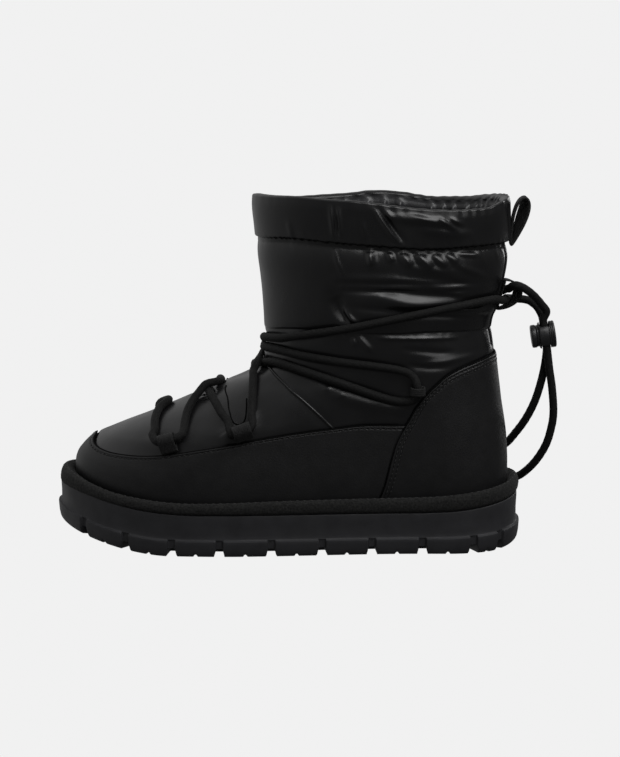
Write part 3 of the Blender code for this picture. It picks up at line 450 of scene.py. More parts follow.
# Creases of the medial side, in the same columns
MEDIAL_CREASES = (
    (((0.0300, 0.1620), (0.0560, 0.1585), (0.0850, 0.1570), (0.1180, 0.1515)), 0.0030, 0.0017),
    (((0.0280, 0.1668), (0.0600, 0.1640), (0.0960, 0.1615), (0.1240, 0.1550)), 0.0025, -0.0012),
    (((0.0420, 0.1720), (0.0800, 0.1696), (0.1200, 0.1660)), 0.0021, 0.0007),
    (((0.0350, 0.1535), (0.0660, 0.1502), (0.0950, 0.1484), (0.1180, 0.1462)), 0.0028, -0.0010),
    (((0.0180, 0.1565), (0.0250, 0.1490), (0.0330, 0.1395)), 0.0027, -0.0016),
    (((0.0330, 0.1845), (0.0360, 0.1765)), 0.0018, 0.0010),
    (((0.0520, 0.1842), (0.0570, 0.1768)), 0.0017, 0.0011),
    (((0.0690, 0.1832), (0.0765, 0.1762)), 0.0019, 0.0012),
    (((0.0820, 0.1828), (0.0900, 0.1764)), 0.0018, 0.0011),
    (((0.0960, 0.1826), (0.1030, 0.1775)), 0.0018, 0.0009),
    (((0.0180, 0.2085), (0.0215, 0.1915)), 0.0014, 0.0008),
    (((0.0400, 0.2080), (0.0470, 0.1900)), 0.0015, 0.0010),
    (((0.0640, 0.2082), (0.0740, 0.1895)), 0.0015, 0.0011),
    (((0.0668, 0.2080), (0.0768, 0.1898)), 0.0014, -0.0009),
    (((0.0900, 0.2070), (0.0985, 0.1960)), 0.0014, 0.0010),
    (((0.0400, 0.1314), (0.0450, 0.1262)), 0.0015, 0.0009),
    (((0.0580, 0.1304), (0.0800, 0.1302), (0.1010, 0.1300)), 0.0014, 0.0007),
    (((0.0180, 0.1000), (0.0330, 0.0950), (0.0500, 0.0902), (0.0720, 0.0858)), 0.0034, 0.0009),
    (((0.0700, 0.1240), (0.0910, 0.1220), (0.1190, 0.1217)), 0.0018, -0.0008),
    (((0.0730, 0.1190), (0.0960, 0.1168), (0.1140, 0.1180)), 0.0020, 0.0009),
    (((-0.0406, 0.0743), (-0.0358, 0.0690)), 0.0032, 0.0009),
)
# Stitched outline of the tongue gusset beside the rear loop, on both sides, as a fold in the near-black
# edge finish that paints a shadow line along the crease
GUSSET = ((-0.0392, 0.0992), (-0.0380, 0.0934), (-0.0365, 0.0863), (-0.0350, 0.0820), (-0.0328, 0.0792),
          (-0.0296, 0.0790), (-0.0273, 0.0808), (-0.0263, 0.0845), (-0.0261, 0.0896), (-0.0262, 0.0935))
GUSSET_STRIDE = 0.0004
GUSSET_FOLD_R = 0.00040
VAMP_FOLD_R = 0.00085
FOLD_OUT = 0.0002
FOLD_POINTS = 181
VAMP_FOLD_TURNS = (0.035, 0.2630)

# Camera, at the photograph's angle
CAMERA_AT = Vector((0.0122, -1.6, 0.375))
CAMERA_AIM = Vector((0.0122, 0.0, 0.1))
CAMERA_LENS = 126.25

rng = np.random.default_rng(7)


def smooth(t):
    t = np.clip(t, 0.0, 1.0)
    return t * t * (3 - 2 * t)


def through(xs, ys, x):
    """Smooth curve through table rows, with no overshoot between them."""
    h = np.diff(xs)
    d = np.diff(ys) / h
    m = np.concatenate(([d[0]], np.zeros(len(xs) - 2), [d[-1]]))
    for i in range(1, len(xs) - 1):
        if d[i - 1] * d[i] > 0:
            a = (2 * h[i] + h[i - 1]) / (3 * (h[i] + h[i - 1]))
            m[i] = d[i - 1] * d[i] / (a * d[i] + (1 - a) * d[i - 1])
    x = np.clip(x, xs[0], xs[-1])
    i = np.clip(np.searchsorted(xs, x) - 1, 0, len(xs) - 2)
    t = (x - xs[i]) / h[i]
    return ((1 + 2 * t) * (1 - t) ** 2 * ys[i] + t * (1 - t) ** 2 * h[i] * m[i]
            + t * t * (3 - 2 * t) * ys[i + 1] + t * t * (t - 1) * h[i] * m[i + 1])


def follow(table, x):
    """Smooth curve through the first two columns of a table."""
    return through(table[:, 0], table[:, 1], x)


def distances(path):
    """Distance along a path at each of its points."""
    return np.concatenate([[0], np.cumsum(np.linalg.norm(np.diff(path, axis=0), axis=1))])


def unit(vectors):
    return vectors / np.linalg.norm(vectors, axis=-1, keepdims=True)


def mounds(x, rows):
    """Sum of soft ridges and troughs across a line, each with its height, place and half width."""
    return sum(high * np.exp(-((x - at) / half) ** 2) for high, at, half in rows)


def ripple(s, waves):
    """Sum of a few waves, each with its size, pace and start."""
    return sum(size * np.sin(pace * s + start) for size, pace, start in waves)


def rows_of(columns, table):
    """Rows of a table by the names of its columns."""
    return [dict(zip(columns, row)) for row in table]


def column(name, z):
    return through(SECTIONS[:, 0], SECTIONS[:, COLUMNS.index(name)], z)


def lift(x):
    """Rise of the feather edge towards toe and heel."""
    toe = np.clip((TOE_LIFT_X - x) / (TOE_LIFT_X - TOE_TIP_X), 0, None)
    heel = np.clip((x - HEEL_LIFT_X) / (HEEL_TIP_X - HEEL_LIFT_X), 0, None)
    return TOE_LIFT * toe ** 2 + HEEL_LIFT * heel ** 2


def level(x, z):
    """True height of a section's point: lifted low down at toe and heel, saddled at the collar."""
    low = np.clip((LEVEL_Z - z) / (LEVEL_Z - FEATHER_Z), 0, 1)
    high = smooth((z - COLLAR_START_Z) / (COLLAR_Z - COLLAR_START_Z))
    saddle = ((x - COLLAR_MID_X) / COLLAR_HALF) ** 2 - COLLAR_SINK
    return z + lift(x) * low + COLLAR_RISE * high * saddle


def skin_at(turn, z):
    """Point of the upper's outside, by turn round it from the toe past the lateral side, and height."""
    turn, z = np.broadcast_arrays(np.asarray(turn, float), np.asarray(z, float))
    front = column("front", z)
    back = column("back", z)
    ball = column("ball", z)
    x = front + (1 - np.cos(2 * np.pi * turn)) / 2 * (back - front)
    side = np.where(np.mod(turn, 1.0) < 0.5, -1.0, 1.0)
    w = ball + (column("heel", z) - ball) * smooth((x - BALL_X) / (HEEL_X - BALL_X))
    f = np.clip((x - front) / column("nose", z), 0, 1)
    b = np.clip((back - x) / column("tail", z), 0, 1)
    w = w * (1 - (1 - f) ** NOSE_POWER) ** (1 / NOSE_POWER)
    w = w * (1 - (1 - b) ** TAIL_POWER) ** (1 / TAIL_POWER)
    waist = WAIST_IN * np.exp(-((x - WAIST_X) / WAIST_SPREAD) ** 2)
    waist = waist * (1 - smooth((z - WAIST_FADE_Z) / WAIST_FADE))
    w = w - np.where(side > 0, waist, 0)
    swing = TOE_SWING * smooth((TOE_SWING_X - x) / TOE_SWING_OVER)
    swing = swing * (1 - smooth((z - TOE_SWING_FADE_Z) / TOE_SWING_FADE))
    return np.stack([x, swing + side * w, level(x, z)], -1)


def step_round(turn, z):
    """Short way along the skin at each place, at an even height."""
    return skin_at(turn + STEP_TURN, z) - skin_at(turn - STEP_TURN, z)


def normal_at(turn, z):
    turn, z = np.broadcast_arrays(np.asarray(turn, float), np.asarray(z, float))
    z = np.clip(z, FEATHER_Z + 2 * STEP_Z, COLLAR_Z - 2 * STEP_Z)
    up = skin_at(turn, z + STEP_Z) - skin_at(turn, z - STEP_Z)
    return unit(np.cross(step_round(turn, z), up))


def skin(turn, z, out=0.0):
    turn, z, out = np.broadcast_arrays(turn, z, out)
    return skin_at(turn, z) + normal_at(turn, z) * out[..., None]


def pace_at(turn, z):
    """Distance along the skin for a whole turn."""
    return np.linalg.norm(step_round(turn, z), axis=-1) / (2 * STEP_TURN)


def slope_at(line, a):
    """Rise of a line for a whole turn."""
    return (follow(line, a + STEP_TURN) - follow(line, a - STEP_TURN)) / (2 * STEP_TURN)


def turn_of(x, z):
    """Turn of the lateral point at x; its negative is the medial one."""
    front = column("front", z)
    back = column("back", z)
    return np.arccos(np.clip(1 - 2 * (x - front) / (back - front), -1, 1)) / (2 * np.pi)


def half_turn(turn):
    """Turn from the front, from 0 to a half, on either side."""
    turn = np.mod(turn, 1.0)
    return np.minimum(turn, 1 - turn)


def outline(turn, out):
    """Plan points at a distance out from the feather edge, flared at toe and heel outside it."""
    out = np.asarray(out, float)
    along = np.cos(2 * np.pi * turn)
    flare = TOE_FLARE * np.clip(along, 0, 1) ** FLARE_POWER
    flare = flare + HEEL_FLARE * np.clip(-along, 0, 1) ** FLARE_POWER
    out = out + np.where(out > 0, flare, 0)
    t = step_round(turn, FEATHER_Z)
    n = unit(np.stack([t[..., 1], -t[..., 0]], -1))
    return skin_at(turn, FEATHER_Z)[..., :2] + n * out[..., None]


def sole_bottom(x):
    toe = np.clip((TOE_SPRING_X - x) / (TOE_SPRING_X - SOLE_TOE_X), 0, None)
    heel = np.clip((x - HEEL_BEVEL_X) / (SOLE_HEEL_X - HEEL_BEVEL_X), 0, None)
    return TOE_SPRING * toe ** TOE_SPRING_POWER + HEEL_BEVEL * heel ** 2


def sole_height(x, share):
    bottom = sole_bottom(x)
    return bottom + share * (SOLE_TOP_Z + lift(x) - bottom)


# Meshes and pieces
def mesh_of(name, points, faces):
    mesh = bpy.data.meshes.new(name)
    mesh.from_pydata(np.asarray(points).reshape(-1, 3).tolist(), [], faces)
    mesh.shade_smooth()
    return mesh


def quads(index, rows_close=False, columns_close=False):
    """Four-sided faces over a grid of point numbers, which may close on itself."""
    if rows_close:
        index = np.vstack([index, index[:1]])
    if columns_close:
        index = np.hstack([index, index[:, :1]])
    corners = [index[:-1, :-1], index[1:, :-1], index[1:, 1:], index[:-1, 1:]]
    return np.stack(corners, -1).reshape(-1, 4).tolist()


def from_grid(name, points, rows_close=False, columns_close=False, caps=False):
    """Skin over a grid of points."""
    rows, columns = points.shape[:2]
    index = np.arange(rows * columns).reshape(rows, columns)
    ends = [index[0].tolist(), index[-1][::-1].tolist()] if caps else []
    return mesh_of(name, points, quads(index, rows_close, columns_close) + ends)


def outward(mesh):
    bm = bmesh.new()
    bm.from_mesh(mesh)
    bmesh.ops.recalc_face_normals(bm, faces=bm.faces)
    bm.to_mesh(mesh)
    bm.free()
    return mesh


def piece(name, mesh, finish_name, slot, *nodes, body="boot"):
    """Adds one piece to the boot, given in the last's own place."""
    item = bpy.data.objects.new(name, mesh)
    bpy.context.scene.collection.objects.link(item)
    item.location = FRAME_SHIFT
    bpy.context.view_layer.update()
    mesh.materials.clear()
    mesh.materials.append(finishes[finish_name])
    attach(item, body)
    if nodes:
        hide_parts(*nodes)
    return item


def set_weave(mesh, along, across):
    """Keeps each point's place along and across a woven strip, for its material."""
    data = mesh.attributes.new("weave", "FLOAT_VECTOR", "POINT")
    values = np.stack([along, across, np.zeros_like(along)], -1)
    data.data.foreach_set("vector", values.ravel().astype(np.float32))


# Camera
camera = bpy.data.objects.new("camera", bpy.data.cameras.new("camera"))
bpy.context.scene.collection.objects.link(camera)
camera.data.lens = CAMERA_LENS
camera.location = CAMERA_AT + FRAME_SHIFT
camera.rotation_euler = (CAMERA_AIM - CAMERA_AT).to_track_quat("-Z", "Y").to_euler()
bpy.context.scene.camera = camera


# Materials
class Finish:
    """A Principled material with its constants set on the shader and helpers for its nodes."""

    def __init__(self, name, colour, rough, **sockets):
        self.material = bpy.data.materials.new(name)
        self.material.use_nodes = True
        self.tree = self.material.node_tree
        self.shader = self.tree.nodes["Principled BSDF"]
        self.shader.inputs["Base Color"].default_value = (*colour, 1)
        self.shader.inputs["Roughness"].default_value = rough
        for key, value in sockets.items():
            self.shader.inputs[key.replace("_", " ")].default_value = value
        self.height = None

    def node(self, kind, **values):
        node = self.tree.nodes.new("ShaderNode" + kind)
        for key, value in values.items():
            if key in node.inputs:
                node.inputs[key].default_value = value
            else:
                setattr(node, key, value)
        return node

    def link(self, source, target):
        self.tree.links.new(source, target)

    def place(self, scale=(1, 1, 1), attribute=None):
        """Coordinates in metres on the object, or on a woven strip."""
        if attribute:
            source = self.node("Attribute", attribute_name=attribute).outputs["Vector"]
        else:
            source = self.node("TexCoord").outputs["Object"]
        mapping = self.node("Mapping")
        mapping.inputs["Scale"].default_value = scale
        self.link(source, mapping.inputs["Vector"])
        return mapping.outputs["Vector"]

    def noise(self, scale, detail=2.0, stretch=(1, 1, 1), distortion=0.0):
        node = self.node("TexNoise", Scale=scale, Detail=detail, Distortion=distortion)
        self.link(self.place(stretch), node.inputs["Vector"])
        return node.outputs["Fac"]

    def cells(self, scale):
        node = self.node("TexVoronoi", Scale=scale, feature="SMOOTH_F1")
        self.link(self.place(), node.inputs["Vector"])
        return node.outputs["Distance"]

    def wave(self, pitch, direction, attribute, distortion=0.0):
        node = self.node("TexWave", wave_type="BANDS", bands_direction=direction, Distortion=distortion)
        node.inputs["Scale"].default_value = math.tau / 20
        self.link(self.place((1 / pitch,) * 3, attribute), node.inputs["Vector"])
        return node.outputs["Fac"]

    def bump(self, height, distance, strength=1.0):
        """Adds a height in metres to the surface's relief."""
        node = self.node("Bump", Distance=distance, Strength=strength)
        self.link(height, node.inputs["Height"])
        if self.height is not None:
            self.link(self.height, node.inputs["Normal"])
        self.height = node.outputs["Normal"]
        self.link(self.height, self.shader.inputs["Normal"])

    def vary(self, fac, socket, low, high, start=0.3, end=0.7):
        """Spreads a pattern between two values of a socket."""
        if socket == "Base Color":
            node = self.node("ValToRGB")
            node.color_ramp.elements[0].position = start
            node.color_ramp.elements[1].position = end
            node.color_ramp.elements[0].color = (*low, 1)
            node.color_ramp.elements[1].color = (*high, 1)
            self.link(fac, node.inputs["Fac"])
            self.link(node.outputs["Color"], self.shader.inputs[socket])
            return
        node = self.node("MapRange")
        for name, value in (("From Min", start), ("From Max", end), ("To Min", low), ("To Max", high)):
            node.inputs[name].default_value = value
        self.link(fac, node.inputs["Value"])
        self.link(node.outputs["Result"], self.shader.inputs[socket])


# Relief of the finishes: depth, strength, pattern and the pattern's own values
NYLON_RELIEF = ((0.0006, 0.22, "noise", (80, 2.0, (1.0, 1.0, 0.55), 0.6)),
                (0.0001, 0.15, "noise", (420, 2.0)))
LEATHER_RELIEF = ((0.0012, 0.03, "noise", (35, 2.0)), (0.00022, 0.32, "cells", (1150,)),
                  (0.00006, 0.3, "noise", (2600, 2.0)))
RUBBER_RELIEF = ((0.00010, 0.4, "noise", (1900, 3.0)), (0.0004, 0.15, "noise", (120, 3.0)))
BAND_RELIEF = ((0.0005, 0.75, "noise", (750, 5.0)),)
WEBBING_RELIEF = ((0.00020, 0.7, "wave", (0.0007, "X", "weave", 0.4)),
                  (0.00014, 0.6, "wave", (0.0011, "Y", "weave", 0.3)))
LACE_RELIEF = ((0.00012, 0.5, "noise", (3000, 2.0)),)
LOCK_RELIEF = ((0.00005, 0.3, "noise", (1500, 2.0)),)
THREAD_RELIEF = ((0.00008, 0.5, "noise", (3500, 2.0)),)
FOOTBED_RELIEF = ((0.0005, 0.7, "noise", (900, 4.0)),)

# Finishes: plain values, then the noises that spread roughness and tone, and the relief
FINISH_COLUMNS = ("name", "colour", "rough", "gloss", "sheen", "sheen_rough",
                  "rough_noise", "rough_range", "tone_noise", "tones", "relief")
FINISHES = (
    ("nylon", (0.005, 0.005, 0.0055), 0.30, 0.5, 0.0, 0.5,
     (55, 3.0), (0.25, 0.37), (30, 2.0), ((0.005, 0.005, 0.0055), (0.009, 0.009, 0.0095)), NYLON_RELIEF),
    # lining: the nylon with 3.4 times its tones, a painted brightening for the light falling on the lining
    ("lining_nylon", (0.017, 0.017, 0.0187), 0.36, 0.5, 0.0, 0.5,
     (55, 3.0), (0.31, 0.43), (30, 2.0), ((0.017, 0.017, 0.0187), (0.0306, 0.0306, 0.0323)),
     NYLON_RELIEF),
    ("leather", (0.007, 0.007, 0.0072), 0.5, 0.3, 0.0, 0.5,
     (40, 4.0), (0.44, 0.56), (160, 3.0), ((0.0082, 0.0082, 0.0086), (0.0108, 0.0108, 0.0113)),
     LEATHER_RELIEF),
    ("rubber", (0.010, 0.010, 0.011), 0.6, 0.4, 0.0, 0.5,
     (60, 5.0), (0.52, 0.68), (90, 5.0), ((0.0175, 0.0175, 0.0195), (0.026, 0.026, 0.0290)), RUBBER_RELIEF),
    ("band", (0.010, 0.010, 0.010), 0.9, 0.15, 0.03, 0.6,
     None, None, (900, 4.0), ((0.007, 0.007, 0.007), (0.024, 0.024, 0.0234)), BAND_RELIEF),
    ("webbing", (0.009, 0.009, 0.009), 0.75, 0.3, 0.03, 0.5,
     None, None, (500, 3.0), ((0.006, 0.006, 0.006), (0.014, 0.014, 0.014)), WEBBING_RELIEF),
    ("lace", (0.005, 0.005, 0.005), 0.8, 0.25, 0.02, 0.5,
     None, None, (650, 3.0), ((0.003, 0.003, 0.003), (0.008, 0.008, 0.0078)), LACE_RELIEF),
    ("lock", (0.016, 0.016, 0.017), 0.36, 0.5, 0.0, 0.5,
     (300, 4.0), (0.30, 0.44), None, None, LOCK_RELIEF),
    ("thread", (0.012, 0.012, 0.012), 0.55, 0.4, 0.0, 0.5,
     None, None, (900, 2.0), ((0.009, 0.009, 0.009), (0.022, 0.022, 0.022)), THREAD_RELIEF),
    # near-black matte edge finish: the leather's cut edges, and painted shade lines along the overlays'
    # edges and the gusset's crease
    ("raw_edge", (0.003, 0.003, 0.003), 0.95, 0.1, 0.0, 0.5,
     None, None, (700, 2.0), ((0.002, 0.002, 0.002), (0.004, 0.004, 0.004)), ()),
    ("footbed", (0.020, 0.020, 0.021), 0.92, 0.2, 0.05, 0.5,
     None, None, (700, 4.0), ((0.012, 0.012, 0.013), (0.032, 0.032, 0.033)), FOOTBED_RELIEF),
)


def finish(row):
    """Material from a row of the finishes."""
    made = Finish(row["name"], row["colour"], row["rough"], Specular_IOR_Level=row["gloss"],
                  Sheen_Weight=row["sheen"], Sheen_Roughness=row["sheen_rough"])
    if row["rough_noise"]:
        made.vary(made.noise(*row["rough_noise"]), "Roughness", *row["rough_range"])
    if row["tone_noise"]:
        made.vary(made.noise(*row["tone_noise"]), "Base Color", *row["tones"])
    for depth, strength, pattern, values in row["relief"]:
        made.bump(getattr(made, pattern)(*values), depth, strength)
    return made.material


finishes = {row["name"]: finish(row) for row in rows_of(FINISH_COLUMNS, FINISHES)}


# Cords and lace
def course(points, stride):
    """Evenly spaced points along a smooth path through the given ones."""
    p = np.array(points, float)
    ends = np.vstack([2 * p[0] - p[1], p, 2 * p[-1] - p[-2]])
    t = np.linspace(0, 1, COURSE_STEPS, endpoint=False)[:, None]
    fine = [0.5 * (2 * b + (c - a) * t + (2 * a - 5 * b + 4 * c - d) * t ** 2
                   + (3 * b - 3 * c + d - a) * t ** 3)
            for a, b, c, d in zip(ends, ends[1:], ends[2:], ends[3:])]
    fine = np.vstack(fine + [p[-1:]])
    far = distances(fine)
    want = np.linspace(0, far[-1], int(math.ceil(far[-1] / stride)) + 1)
    return np.stack([np.interp(want, far, fine[:, i]) for i in range(3)], -1)


def frames_along(path):
    """Two directions square to a path at each point, carried along without twist."""
    way = unit(np.gradient(path, axis=0))
    side = np.cross(way[0], ASKEW)
    sides = []
    for w in way:
        side = side - w * np.dot(side, w)
        side = side / np.linalg.norm(side)
        sides.append(side)
    sides = np.array(sides)
    return sides, np.cross(way, sides)


def tube(name, path, radius):
    """Tube along a path, with a radius for each of its points."""
    sides, ups = frames_along(path)
    angle = np.arange(radius.shape[1]) / radius.shape[1] * math.tau
    ring = np.cos(angle)[:, None] * sides[:, None] + np.sin(angle)[:, None] * ups[:, None]
    return from_grid(name, path[:, None] + ring * radius[..., None], columns_close=True, caps=True)


def bead(name, points, radius):
    """Thin round bead along a line of points."""
    path = course(points, BEAD_STRIDE)
    return outward(tube(name, path, np.full((len(path), BEAD_SIDES), radius)))


def braided(name, path):
    """Round braided lace along a path, with its strands as relief."""
    far = np.arange(len(path)) * np.linalg.norm(path[1] - path[0])
    around = BRAID_AROUND * np.arange(LACE_SIDES) / LACE_SIDES
    u = around + far[:, None] / BRAID_PITCH
    v = around - far[:, None] / BRAID_PITCH
    relief = np.abs(np.sin(math.pi * u)) * np.abs(np.sin(math.pi * v))
    return tube(name, path, LACE_R - BRAID_HIGH * (1 - np.sqrt(relief)))


loop_rows = {row["name"]: row for row in rows_of(LOOP_COLUMNS, LOOPS)}


def loop_frame(row, side):
    """Frame on the skin under the tab: x along the tab, y outwards, z along the lace."""
    turn = float(turn_of(row["x"], row["z"])) * -side
    foot = Vector(skin(turn, row["z"]))
    out = Vector(normal_at(turn, row["z"]))
    way = Vector(row["way"])
    way = (way - out * way.dot(out)).normalized()
    along = way.cross(out)
    made = Matrix((way, out, along)).transposed().to_4x4()
    made.translation = foot
    return made


def back_at(z):
    press = sum(deep * math.exp(-((z - at) / SEAM_PRESS_HALF) ** 2) for at, deep in SEAM_PRESS)
    return float(column("back", z)) - press


def sunk(point):
    """How far the lace is pressed into the padding at a point, nothing beside the loops."""
    held = [np.array(loop_frame(row, side).translation) for row in loop_rows.values() for _, side in SIDES]
    held.append(np.array((back_at(BACK_LOOP_Z), 0.0, BACK_LOOP_Z)))
    free = [1 - math.exp(-(np.linalg.norm(point - spot) / SINK_CLEAR) ** 2) for spot in held]
    return LACE_SINK * math.prod(free)


def route(rows, side):
    """Lace points from table rows; side is the starting side."""
    points = []
    for x, z, out, hand in rows:
        turn = 0.0 if hand == 0 else float(turn_of(x, z)) * -side * hand
        points.append(skin(turn, z, out - sunk(skin_at(turn, z))))
    return points


def vamp_route(side):
    return route(VAMP_START + VAMP_MIDDLE[side] + VAMP_END, side)


def wrap_route(side):
    rows = WRAP_UP + WRAP_LOW[side] + WRAP_ROUND + WRAP_HIGH[side] + WRAP_BACK + WRAP_END[side]
    return route(rows, side)


lock_frame = Matrix.Translation(LOCK_AT) @ Matrix.Rotation(-LOCK_TILT, 4, "Y")


def lock_point(y, s):
    return tuple(lock_frame @ Vector((CORD_A, y, s)))


def past_end(strand, reach):
    """Point beyond a strand's last one."""
    last = np.array(strand[-1]) - np.array(strand[-2])
    return np.array(strand[-1]) + last / np.linalg.norm(last) * reach


first_wrap = wrap_route(-1)
second_wrap = wrap_route(1)
down = [lock_point(CORD_Y, s) for s in TAIL_LOCK]
up = [lock_point(-CORD_Y, s) for s in reversed(TAIL_LOCK)]
tail_points = [past_end(first_wrap, TAIL_PART), *TAIL_LOWER, *down, *TAIL_FREE, *up, *TAIL_UPPER,
               past_end(second_wrap, TAIL_PART)]
tail_path = course(tail_points, LACE_STRIDE)
tail = piece("lace_tail_cord", braided("lace_tail_cord", tail_path), "lace", "lace", "lace_tail")


def loop_middle(row):
    """Middle of the lace in a loop, along the tab and outwards."""
    return -row["ahead"], WEBBING_GAP + WEBBING + LOOP_PLAY + row["play"] + LACE_R


def through_loop(name, side, coming):
    """Points of the lace in a loop, in the order in which it comes to them."""
    row = loop_rows[name]
    along, out = loop_middle(row)
    points = [np.array(loop_frame(row, side) @ Vector((along, out, s * row["half"]))) for s in (-1, 1)]
    return sorted(points, key=lambda p: np.linalg.norm(p - coming))


def whole_lace():
    """One lace from the back loop by wraps, loops, crossing and toe bar, and back to the back loop."""
    points = [past_end(first_wrap, LACE_LAP)] + first_wrap[::-1]
    points += through_loop("lace_loop_rear", -1, points[-1])
    points += vamp_route(1)[::-1]
    points += through_loop("lace_loop_front", 1, points[-1])
    points += route(TOE_BAR, 1) + route(TOE_BAR[:-1], -1)[::-1]
    points += through_loop("lace_loop_front", -1, points[-1])
    points += vamp_route(-1)
    points += through_loop("lace_loop_rear", 1, points[-1])
    return points + second_wrap + [past_end(second_wrap, LACE_LAP)]


lace_path = course(whole_lace(), LACE_STRIDE)
piece("lace_run", braided("lace_run", lace_path), "lace", "lace", "lace_toe_bar", "lace_vamp_cross",
      "lace_ankle_wraps")


# Cord lock
def rod(name, profile, sides=72):
    """Turned body about the x axis: stations and radii from end to end."""
    profile = np.array(profile)
    angle = np.arange(sides) / sides * math.tau
    ring = np.stack([np.zeros(sides), np.cos(angle), np.sin(angle)], -1)
    points = ring[None] * profile[:, 1, None, None] + profile[:, 0, None, None] * np.array((1, 0, 0))
    return outward(from_grid(name, points, columns_close=True, caps=True))


def block(name, low, high):
    corners = [(x, y, z) for x in (low[0], high[0]) for y in (low[1], high[1]) for z in (low[2], high[2])]
    faces = [(0, 1, 3, 2), (4, 6, 7, 5), (0, 4, 5, 1), (2, 3, 7, 6), (0, 2, 6, 4), (1, 5, 7, 3)]
    return outward(mesh_of(name, corners, faces))


def carved(name, mesh, cutters, bevel):
    """Mesh less its cutters, with its edges rounded."""
    item = bpy.data.objects.new(name, mesh)
    bpy.context.scene.collection.objects.link(item)
    tools = []
    for cutter in cutters:
        tool = bpy.data.objects.new(cutter.name, cutter)
        bpy.context.scene.collection.objects.link(tool)
        step = item.modifiers.new(cutter.name, "BOOLEAN")
        step.object = tool
        step.solver = "EXACT"
        tools.append(tool)
    edge = item.modifiers.new("edge", "BEVEL")
    edge.width = bevel
    edge.segments = BEVEL_STEPS
    edge.limit_method = "ANGLE"
    edge.angle_limit = BEVEL_FROM
    bpy.context.view_layer.update()
    made = bpy.data.meshes.new_from_object(item.evaluated_get(bpy.context.evaluated_depsgraph_get()))
    for old in (item, *tools):
        bpy.data.objects.remove(old)
    made.transform(lock_frame)
    made.shade_smooth()
    made.set_sharp_from_angle(angle=LOCK_SHARP)
    return made


def rounded(start, end, radius, edge):
    """Profile of a rod with rounded ends."""
    bend = np.linspace(0, math.pi / 2, ROUND_STEPS)
    left = [(start + edge * (1 - math.sin(a)), radius - edge * (1 - math.cos(a))) for a in bend[::-1]]
    right = [(end - edge * (1 - math.sin(a)), radius - edge * (1 - math.cos(a))) for a in bend]
    return left + right


grip_rings = []
for at in GRIP_AT:
    grip_rings += [(at - GRIP_HALF, LOCK_R), (at, LOCK_R - GRIP_DEEP), (at + GRIP_HALF, LOCK_R)]
ends = rounded(LOCK_LEFT, LOCK_RIGHT, LOCK_R, LOCK_EDGE)
barrel_profile = ends[:ROUND_STEPS] + grip_rings + ends[ROUND_STEPS:]
hole_low = (CORD_A - CORD_HOLE[0] / 2, -CORD_HOLE[1] / 2, -CUT_HALF)
hole_high = (CORD_A + CORD_HOLE[0] / 2, CORD_HOLE[1] / 2, CUT_HALF)
bore = rod("bore", ((LOCK_LEFT - BORE_PAST, LOCK_BORE_R), (LOCK_BORE_END, LOCK_BORE_R)))
hole = block("hole", hole_low, hole_high)
barrel = carved("barrel", rod("barrel", barrel_profile), [bore, hole], LOCK_BEVEL)
lock_barrel = piece("lock_barrel", barrel, "lock", "lock", "cord_lock_barrel")
slot_low = (STEM_SLOT[0], -CORD_HOLE[1] / 2, -CUT_HALF)
slot_high = (STEM_SLOT[1], CORD_HOLE[1] / 2, CUT_HALF)
stem_profile = rounded(CAP_FROM, CAP_TO, CAP_R, CAP_EDGE)
stem_profile += [(CAP_TO + CAP_STEP, STEM_R), (STEM_END, STEM_R)]
stem = carved("stem", rod("stem", stem_profile), [block("slot", slot_low, slot_high)], STEM_BEVEL)
lock_plunger = piece("lock_plunger", stem, "lock", "lock", "cord_lock_plunger", body="plunger")


# Webbing: loops for the lace, the back loop and the pull loop
def ribbon(name, path, place, half, thick, closed=False):
    """Strip of webbing along a flat path, twice the half wide, put into the last by place."""
    path = np.array(path, float)
    if closed:
        way = np.roll(path, -1, axis=0) - np.roll(path, 1, axis=0)
    else:
        way = np.gradient(path, axis=0)
    way = unit(way)
    normal = np.stack([-way[:, 1], way[:, 0]], -1)
    across = np.linspace(-half, half, RIBBON_ACROSS)
    edge = 1 - RIBBON_THIN * np.abs(across / half) ** RIBBON_POWER
    spread = np.concatenate([across, across[::-1]])
    rise = np.concatenate([edge, -edge[::-1]]) * thick / 2
    flat = path[:, None] + normal[:, None] * rise[None, :, None]
    points = np.concatenate([flat, np.broadcast_to(spread[None, :, None], flat.shape[:2] + (1,))], -1)
    matrix = np.array(place)
    points = points @ matrix[:3, :3].T + matrix[:3, 3]
    mesh = outward(from_grid(name, points, rows_close=closed, columns_close=True, caps=not closed))
    far = distances(path)
    set_weave(mesh, np.repeat(far, len(spread)), np.tile(spread, len(path)))
    return mesh


def loop_path(row):
    """Folded strip: along the skin, round the lace and back onto itself at the tab."""
    middle = loop_middle(row)
    radius = middle[1] - WEBBING_GAP - WEBBING / 2
    end = (row["tab"], WEBBING_GAP + 1.5 * WEBBING)
    reach = math.hypot(end[0] - middle[0], end[1] - middle[1])
    lean = math.atan2(end[1] - middle[1], end[0] - middle[0])
    over = lean + math.acos(min(1.0, radius / reach))
    angles = np.linspace(-math.pi / 2, over - 2 * math.pi, LOOP_BEND)
    bend = [(middle[0] + radius * math.cos(a), middle[1] + radius * math.sin(a)) for a in angles]
    foot = [(x, WEBBING_GAP + WEBBING / 2) for x in np.linspace(row["tab"], middle[0], LOOP_FLAT)[:-1]]
    back = [tuple(p) for p in np.linspace(bend[-1], end, LOOP_FLAT)[1:]]
    return foot + bend + back


for name, row in loop_rows.items():
    for side_name, side in SIDES:
        node = name + "_" + side_name
        strip = ribbon(node + "_strip", loop_path(row), loop_frame(row, side), row["half"], WEBBING)
        piece(node + "_strip", strip, "webbing", "webbing", node)

UPRIGHT = Matrix(((1, 0, 0, 0), (0, 0, -1, 0), (0, 1, 0, 0), (0, 0, 0, 1)))


